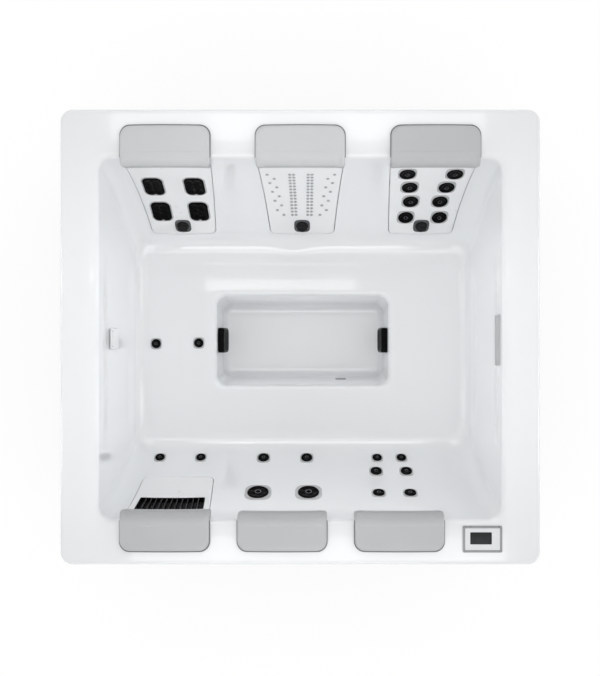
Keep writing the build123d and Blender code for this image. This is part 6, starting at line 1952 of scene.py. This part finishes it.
@dataclass(frozen=True)
class Cabinet:
    """Boarded cabinet under the rim: grooved boards, corner trims and screws."""

    half_x: float = 1098.0
    half_y: float = 1040.5
    low: float = 76.0
    high: float = 866.0
    grooves: int = 8
    leg: float = 90.0
    proud: float = 4.0

    def section(self, thick: float) -> tuple[Array, Array]:
        """Outer path with rounded grooves, and the flat inner path, from low to high.

        Each groove is an eased dip of the outer face about its height.

        Args:
            thick: thickness of the boards.

        Returns:
            Outer and inner paths of (depth, height).
        """
        tall = self.high - self.low
        pitch = tall / (self.grooves + 1)
        height = np.unique(np.concatenate(
            [np.linspace(0, tall, 20)] + [pitch * (k + 1) + np.linspace(-3.2, 3.2, 9) for k in range(self.grooves)]
        ))
        step = (height / pitch + 0.5) % 1 - 0.5
        near = np.abs(step) * pitch
        inner_groove = (height > pitch / 2) & (height < tall - pitch / 2)
        dip = 3 * (1 - eased(0.9, 3.0, near)) * inner_groove
        ends = np.minimum(height, tall - height)
        dip = dip + 1.5 * (1 - eased(0, 2.5, ends))
        outer = np.stack([dip, height + self.low], 1)
        return outer, np.stack([np.full(len(height), thick), height + self.low], 1)

    def boards(self, name: str, out: tuple, length: float, thick: float) -> Batch:
        """Boards of one wall: the section carried along it."""
        batch = Batch()
        self.wall(batch, out, length, thick)
        return batch

    def wall(self, batch: Batch, out: tuple, length: float, thick: float) -> None:
        """Adds one wall of boards.

        Args:
            batch: where the surfaces go.
            out: flat direction that the wall faces.
            length: its length.
            thick: its thickness.
        """
        away = self.half_x if out[0] else self.half_y
        station = np.linspace(-length / 2, length / 2, 9)
        grids = []
        for path in self.section(thick):
            grid = np.empty((len(station), len(path), 3))
            flat = away - path[None, :, 0]
            along = station[:, None]
            grid[..., 0] = out[0] * flat + abs(out[1]) * along
            grid[..., 1] = out[1] * flat + abs(out[0]) * along
            grid[..., 2] = path[None, :, 1]
            grids.append(grid)
        batch.slab(*grids)

    def posts(self) -> bpy.types.Object:
        """Corner trims: an angle with a rounded outer edge, carried up the corner."""
        turn = np.linspace(0, math.pi / 2, 7)
        thick = 16 + self.proud
        outer = [(0.8, -self.leg), (0, -self.leg + 0.8)]
        curve = np.stack([-10 + 10 * np.cos(turn), -10 + 10 * np.sin(turn)], 1)
        outer = np.vstack([outer, [(0, -50)], curve, [(-50, 0), (-self.leg + 0.8, 0), (-self.leg, -0.8)]])
        outer[0] = (-0.8, -self.leg)
        inner = np.vstack([
            [(-thick, -self.leg), (-thick, -self.leg + 1), (-thick, -50)],
            np.tile((-thick, -thick), (7, 1)) + np.stack([np.linspace(0, -0.6, 7), np.linspace(-0.6, 0, 7)], 1),
            [(-50, -thick), (-self.leg + 1, -thick), (-self.leg, -thick)],
        ])
        height = np.array([0, 1.5, 200, 400, 600, 788.5, 790.0]) + self.low
        batch = Batch()
        for sx in (-1, 1):
            for sy in (-1, 1):
                grids = []
                for path in (outer, inner):
                    grid = np.empty((len(height), len(path), 3))
                    grid[..., 0] = sx * (self.half_x + self.proud + path[None, :, 0])
                    grid[..., 1] = sy * (self.half_y + self.proud + path[None, :, 1])
                    grid[..., 2] = height[:, None]
                    grids.append(grid)
                batch.slab(*grids)
        return batch.build("corner_trims", [TRIM_BLACK], "tub", "trim", ("corner_posts",), 35)

    def screws(self) -> bpy.types.Object:
        """Domed screw heads with a cross sunk in them, and their shanks.

        The head's height is a dome less an eased cross of two bars.

        Returns:
            All screws in one mesh.
        """
        radius = np.array([3, 7, 7, 6.6, 5.6, 4.4, 3.4, 2.6, 1.9, 1.2, 0.5])
        height = np.array([-0.1, -0.1, 0.8, 1.5, 2.0, 2.3, 2.4, 2.45, 2.5, 2.5, 2.5])
        rings = turned_rings(np.stack([radius, height], 1), 32)
        x, y = np.abs(rings[..., 0]), np.abs(rings[..., 1])
        cross = np.maximum((1 - eased(0.5, 1.0, x)) * (1 - eased(3.2, 4.2, y)),
                           (1 - eased(0.5, 1.0, y)) * (1 - eased(3.2, 4.2, x)))
        rings[4:, :, 2] -= 1.5 * cross[4:]
        shank = turned_rings(np.array([(1.2, 0), (2.5, 0), (2.5, -12), (0.6, -14)], float), 12)
        batch = Batch()
        for sx in (-1, 1):
            for sy in (-1, 1):
                for z in (self.low + 64, self.high / 2 + 47, self.high - 46):
                    for spot in self.screw_spots(sx, sy, z):
                        batch.loft(spot.put(rings))
                        batch.loft(spot.put(shank))
        return batch.build("trim_screws", [STEEL], "tub", "screw", ("panel_screws",), 40)

    def screw_spots(self, sx: int, sy: int, z: float) -> list[Place]:
        """The two spots of a corner at a height, one on each face."""
        x, y = self.half_x + self.proud, self.half_y + self.proud
        up = np.array([0.0, 0.0, 1.0])
        side = np.array([float(sx), 0.0, 0.0])
        end = np.array([0.0, float(sy), 0.0])
        return [
            Place(np.array([sx * x, sy * (y - 42), z]), np.cross(up, side), up, side),
            Place(np.array([sx * (x - 42), sy * y, z]), np.cross(up, end), up, end),
        ]

    def front(self) -> bpy.types.Object:
        """Service panel with its finger slot cut in."""
        batch = Batch()
        self.wall(batch, TO_FRONT, (self.half_x + self.proud - self.leg - 1) * 2, 15.7)
        panel = batch.build("front_boards", [BOARD], angle=30)
        slot = Batch()
        outline = box_outline(55, 13, 12)
        rings = [lifted(inset(outline, by), tall) for by, tall in ((-3, 3), (0, 0.0), (0, -9), (40, -9))]
        up = np.array([0.0, 0.0, 1.0])
        out = np.array([0.0, -1.0, 0.0])
        spot = Place(np.array([0, -self.half_y, self.high - 90.0]), np.cross(up, out), up, out)
        rings[-1][:, :2] = outline * 0.5
        slot.loft(spot.put(np.stack(rings)))
        cut(panel, slot.build("slot_tool", []), 30)
        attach(panel, "service_panel")
        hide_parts("front_panel")
        return panel

    def build(self) -> None:
        """All boards, trims and screws."""
        sides = Batch()
        for out in (TO_LEFT, TO_RIGHT):
            self.wall(sides, out, (self.half_y + self.proud - self.leg) * 2, 16)
        sides.build("side_boards", [BOARD], "tub", "cabinet", ("side_panels",), 30)
        back = Batch()
        self.wall(back, TO_BACK, (self.half_x + self.proud - self.leg) * 2, 16)
        back.build("back_boards", [BOARD], "tub", "cabinet", ("back_panel",), 30)
        self.front()
        self.posts()
        self.screws()


@dataclass(frozen=True)
class Equipment:
    """Parts kept from the CAD model, each with its own finish."""

    def finishes(self) -> dict[str, Finish]:
        """Finish of each kept node."""
        return {
            "base_pan": TRIM_BLACK, "frame_rails": TIMBER, "frame_posts": TIMBER,
            "filter_housing": PIPE, "filter_cartridge": MEDIA, "suction_fittings": PIPE,
            "pump_wet_end": PUMP, "pump_motor": MOTOR, "pump_impeller": PUMP,
            "circulation_pump": PUMP, "heater": HEATER, "control_box": BOX,
            "control_box_lid": BOX, "supply_pipes": PIPE, "drain_body": BRASS,
            "drain_handle": JET_BLACK,
        }

    def dress(self) -> None:
        """Gives each kept node its material."""
        for node, finish in self.finishes().items():
            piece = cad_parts[node]
            piece.data.materials.clear()
            piece.data.materials.append(finish.material())


# ------------------------------------------------------------------ studio


@dataclass(frozen=True)
class Studio:
    """Camera straight above, white surroundings and soft boxes.

    Args:
        horizon: strength of the surroundings at the horizon.
        zenith: strength overhead.
        slant: how much it grows towards +X and +Y.
        floor: floor's colour for indirect light.
    """

    horizon: float = 1.06
    zenith: float = 0.6
    slant: tuple[float, float] = (0.12, -0.06)
    floor: float = 0.8

    def camera(self) -> None:
        """Camera above the tub, looking straight down."""
        lens = bpy.data.cameras.new("camera")
        lens.lens = 39.81
        lens.sensor_width = 36.0
        lens.shift_x = -0.0232
        lens.shift_y = 0.003
        made = bpy.data.objects.new("camera", lens)
        made.location = (0.072, -0.014, 4.394)
        bpy.context.scene.collection.objects.link(made)
        bpy.context.scene.camera = made

    def surroundings(self) -> None:
        """World: white where it is seen directly or mirrored, otherwise a gradient.

        The gradient runs from the horizon to the zenith by the height of the direction,
        with a little more from the right and the front by a dot product.
        """
        world = bpy.data.worlds.new("surroundings")
        world.use_nodes = True
        bpy.context.scene.world = world
        nodes, links = world.node_tree.nodes, world.node_tree.links
        nodes.clear()
        out = nodes.new("ShaderNodeOutputWorld")
        mix = nodes.new("ShaderNodeMixShader")
        links.new(mix.outputs["Shader"], out.inputs["Surface"])
        where = nodes.new("ShaderNodeTexCoord")
        share = nodes.new("ShaderNodeVectorMath")
        share.operation = "DOT_PRODUCT"
        share.inputs[1].default_value = (*self.slant, self.zenith - self.horizon)
        links.new(where.outputs["Generated"], share.inputs[0])
        total = nodes.new("ShaderNodeMath")
        total.operation = "ADD"
        total.inputs[1].default_value = self.horizon
        links.new(share.outputs["Value"], total.inputs[0])
        for index, strength in ((1, total.outputs["Value"]), (2, None)):
            background = nodes.new("ShaderNodeBackground")
            background.inputs["Color"].default_value = (1, 1, 1, 1)
            background.inputs["Strength"].default_value = 1.0
            if strength:
                links.new(strength, background.inputs["Strength"])
            links.new(background.outputs["Background"], mix.inputs[index])
        links.new(self.seen(nodes, links), mix.inputs["Fac"])

    @staticmethod
    def seen(nodes, links) -> bpy.types.NodeSocket:
        """1 for camera, glossy and transmission rays, 0 for the rest."""
        path = nodes.new("ShaderNodeLightPath")
        total = path.outputs["Is Camera Ray"]
        for name in ("Is Glossy Ray", "Is Transmission Ray"):
            add = nodes.new("ShaderNodeMath")
            add.operation = "MAXIMUM"
            links.new(total, add.inputs[0])
            links.new(path.outputs[name], add.inputs[1])
            total = add.outputs["Value"]
        return total

    def ground(self) -> None:
        """Large pale floor, near white where it is seen, keeping the tub's shadow."""
        batch = Batch()
        side = 14000.0
        square = np.array([[[-side, -side, 0], [side, -side, 0]], [[-side, side, 0], [side, side, 0]]])
        batch.sheet(square)
        floor = batch.build("floor", [], closed=False)
        made = bpy.data.materials.new("floor_white")
        made.use_nodes = True
        nodes, links = made.node_tree.nodes, made.node_tree.links
        nodes.clear()
        out = nodes.new("ShaderNodeOutputMaterial")
        mix = nodes.new("ShaderNodeMixShader")
        links.new(mix.outputs["Shader"], out.inputs["Surface"])
        plain = nodes.new("ShaderNodeBsdfDiffuse")
        plain.inputs["Color"].default_value = (self.floor,) * 3 + (1,)
        both = nodes.new("ShaderNodeAddShader")
        glow = nodes.new("ShaderNodeEmission")
        glow.inputs["Color"].default_value = (1, 1, 1, 1)
        glow.inputs["Strength"].default_value = 0.85
        shade = nodes.new("ShaderNodeBsdfDiffuse")
        shade.inputs["Color"].default_value = (0.2, 0.2, 0.2, 1)
        links.new(glow.outputs["Emission"], both.inputs[0])
        links.new(shade.outputs["BSDF"], both.inputs[1])
        links.new(plain.outputs["BSDF"], mix.inputs[1])
        links.new(both.outputs["Shader"], mix.inputs[2])
        links.new(self.seen(nodes, links), mix.inputs["Fac"])
        floor.data.materials.append(made)

    def lamp(self, name: str, place: tuple, aim: tuple, size: tuple, radiance: float,
             spread: float = 180.0, mirrored: bool = False) -> None:
        """Soft box at a place, turned to a point, of an even radiance.

        A narrow beam gathers its power by 2 over 2 + (2a - pi) tan a, where a is half of
        what its spread lacks to 180 degrees, so its power is divided by that.

        Args:
            name: the lamp's name.
            place: where it hangs, in metres.
            aim: the point it faces.
            size: its width and height.
            radiance: its brightness; the power is that times pi and the area.
            spread: angle of its beam; a narrow one has no mirror image.
            mirrored: it only shows as a mirror image and lights nothing else.
        """
        light = bpy.data.lights.new(name, "AREA")
        light.shape = "RECTANGLE"
        light.size, light.size_y = size
        lack = math.radians(180 - spread) / 2
        gathered = 2 / (2 + (2 * lack - math.pi) * math.tan(lack))
        light.energy = radiance * math.pi * size[0] * size[1] / gathered
        made = bpy.data.objects.new(name, light)
        made.location = place
        way = np.array(aim, float) - np.array(place, float)
        flat = math.hypot(way[0], way[1])
        heading = math.atan2(way[1], way[0]) - math.pi / 2 if flat > 1e-6 else 0.0
        made.rotation_euler = (math.atan2(flat, -way[2]), 0, heading)
        light.spread = math.radians(spread)
        made.visible_camera = False
        made.visible_glossy = spread == 180
        made.visible_diffuse = not mirrored
        bpy.context.scene.collection.objects.link(made)

    def build(self) -> None:
        """Camera, surroundings, floor, five lamps' beams and the mirrored soft boxes."""
        self.camera()
        self.surroundings()
        self.ground()
        down = 4.6
        self.lamp("top_back", (-0.1, 2.2, down), (-0.1, 2.2, 0), (3.6, 0.6), 1.8)
        self.lamp("top_front", (0.1, -2.2, down), (0.1, -2.2, 0), (3.6, 0.6), 1.8)
        self.lamp("on_basin", (0.05, 0.0, 4.4), (0.05, 0, 0), (1.2, 1.0), 5.0, 32)
        self.lamp("on_left", (3.6, 0.0, 2.2), (-0.92, 0, 0.6), (1.6, 0.8), 19.0, 28)
        self.lamp("on_right", (-3.6, 0.0, 2.2), (0.92, 0, 0.6), (1.6, 0.8), 20.0, 28)
        self.lamp("on_back", (0.0, -3.6, 2.4), (0, 0.8, 0.6), (1.8, 0.8), 6.5, 40)
        self.lamp("on_front", (0.0, 3.6, 2.4), (0, -0.8, 0.6), (1.8, 0.8), 5.5, 40)
        for name, place, aim, size, radiance in (
            ("strip", (-0.38, 0.6, down), (-0.38, 0.6, 0), (1.8, 0.13), 2.0),
            ("mirror_front", (-0.2, -3.5, down), (0, 0.2, 0.1), (3.0, 0.9), 2.4),
            ("mirror_back", (0.0, 3.5, down), (0, -0.2, 0.1), (3.0, 0.9), 2.4),
            ("mirror_right_a", (3.4, 0.56, 3.0), (0, 0.3, 0.6), (0.4, 0.4), 9.0),
            ("mirror_right_b", (3.4, -0.85, 3.0), (0, -0.4, 0.6), (0.5, 0.4), 9.0),
            ("mirror_left_a", (-3.4, 0.56, 3.0), (0, 0.3, 0.6), (0.4, 0.4), 9.0),
            ("mirror_left_b", (-3.4, -0.85, 3.0), (0, -0.4, 0.6), (0.5, 0.4), 9.0),
        ):
            self.lamp(name, place, aim, size, radiance, mirrored=True)
        bpy.context.scene.view_settings.view_transform = "Standard"


def corners(box: tuple) -> list[list[float]]:
    """Lowest and highest corner as plain lists."""
    return [list(box[0]), list(box[1])]


def main() -> None:
    """Builds every part of the tub in order."""
    logging.basicConfig(level=logging.INFO, format="%(message)s")
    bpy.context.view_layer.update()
    Studio().build()
    log.info("studio ready")
    shell = Shell()
    shell.build()
    shell.pockets()
    log.info("shell and pockets built")
    for side, bay in (("left", LEFT_BAY), ("middle", MIDDLE_BAY), ("right", RIGHT_BAY)):
        pack = JetPack(side, bay)
        pack.body()
        pack.knob_base()
        pack.knob()
        log.info("%s pack built", side)
    SquareJets().build()
    SprayHoles().build()
    RoundJets().build()
    WallJets().build()
    log.info("jets built")
    bay = FilterBay()
    bay.cover()
    bay.grille()
    log.info("filter bay built")
    Pillows().build()
    log.info("pillows built")
    Keypad().build()
    Spout().build()
    plates = Plates()
    plates.plate()
    plates.inlet()
    Suction().build()
    log.info("fittings built")
    Cabinet().build()
    Equipment().dress()
    log.info("cabinet and equipment dressed")
    bpy.context.view_layer.update()


if __name__ == "__main__":
    main()
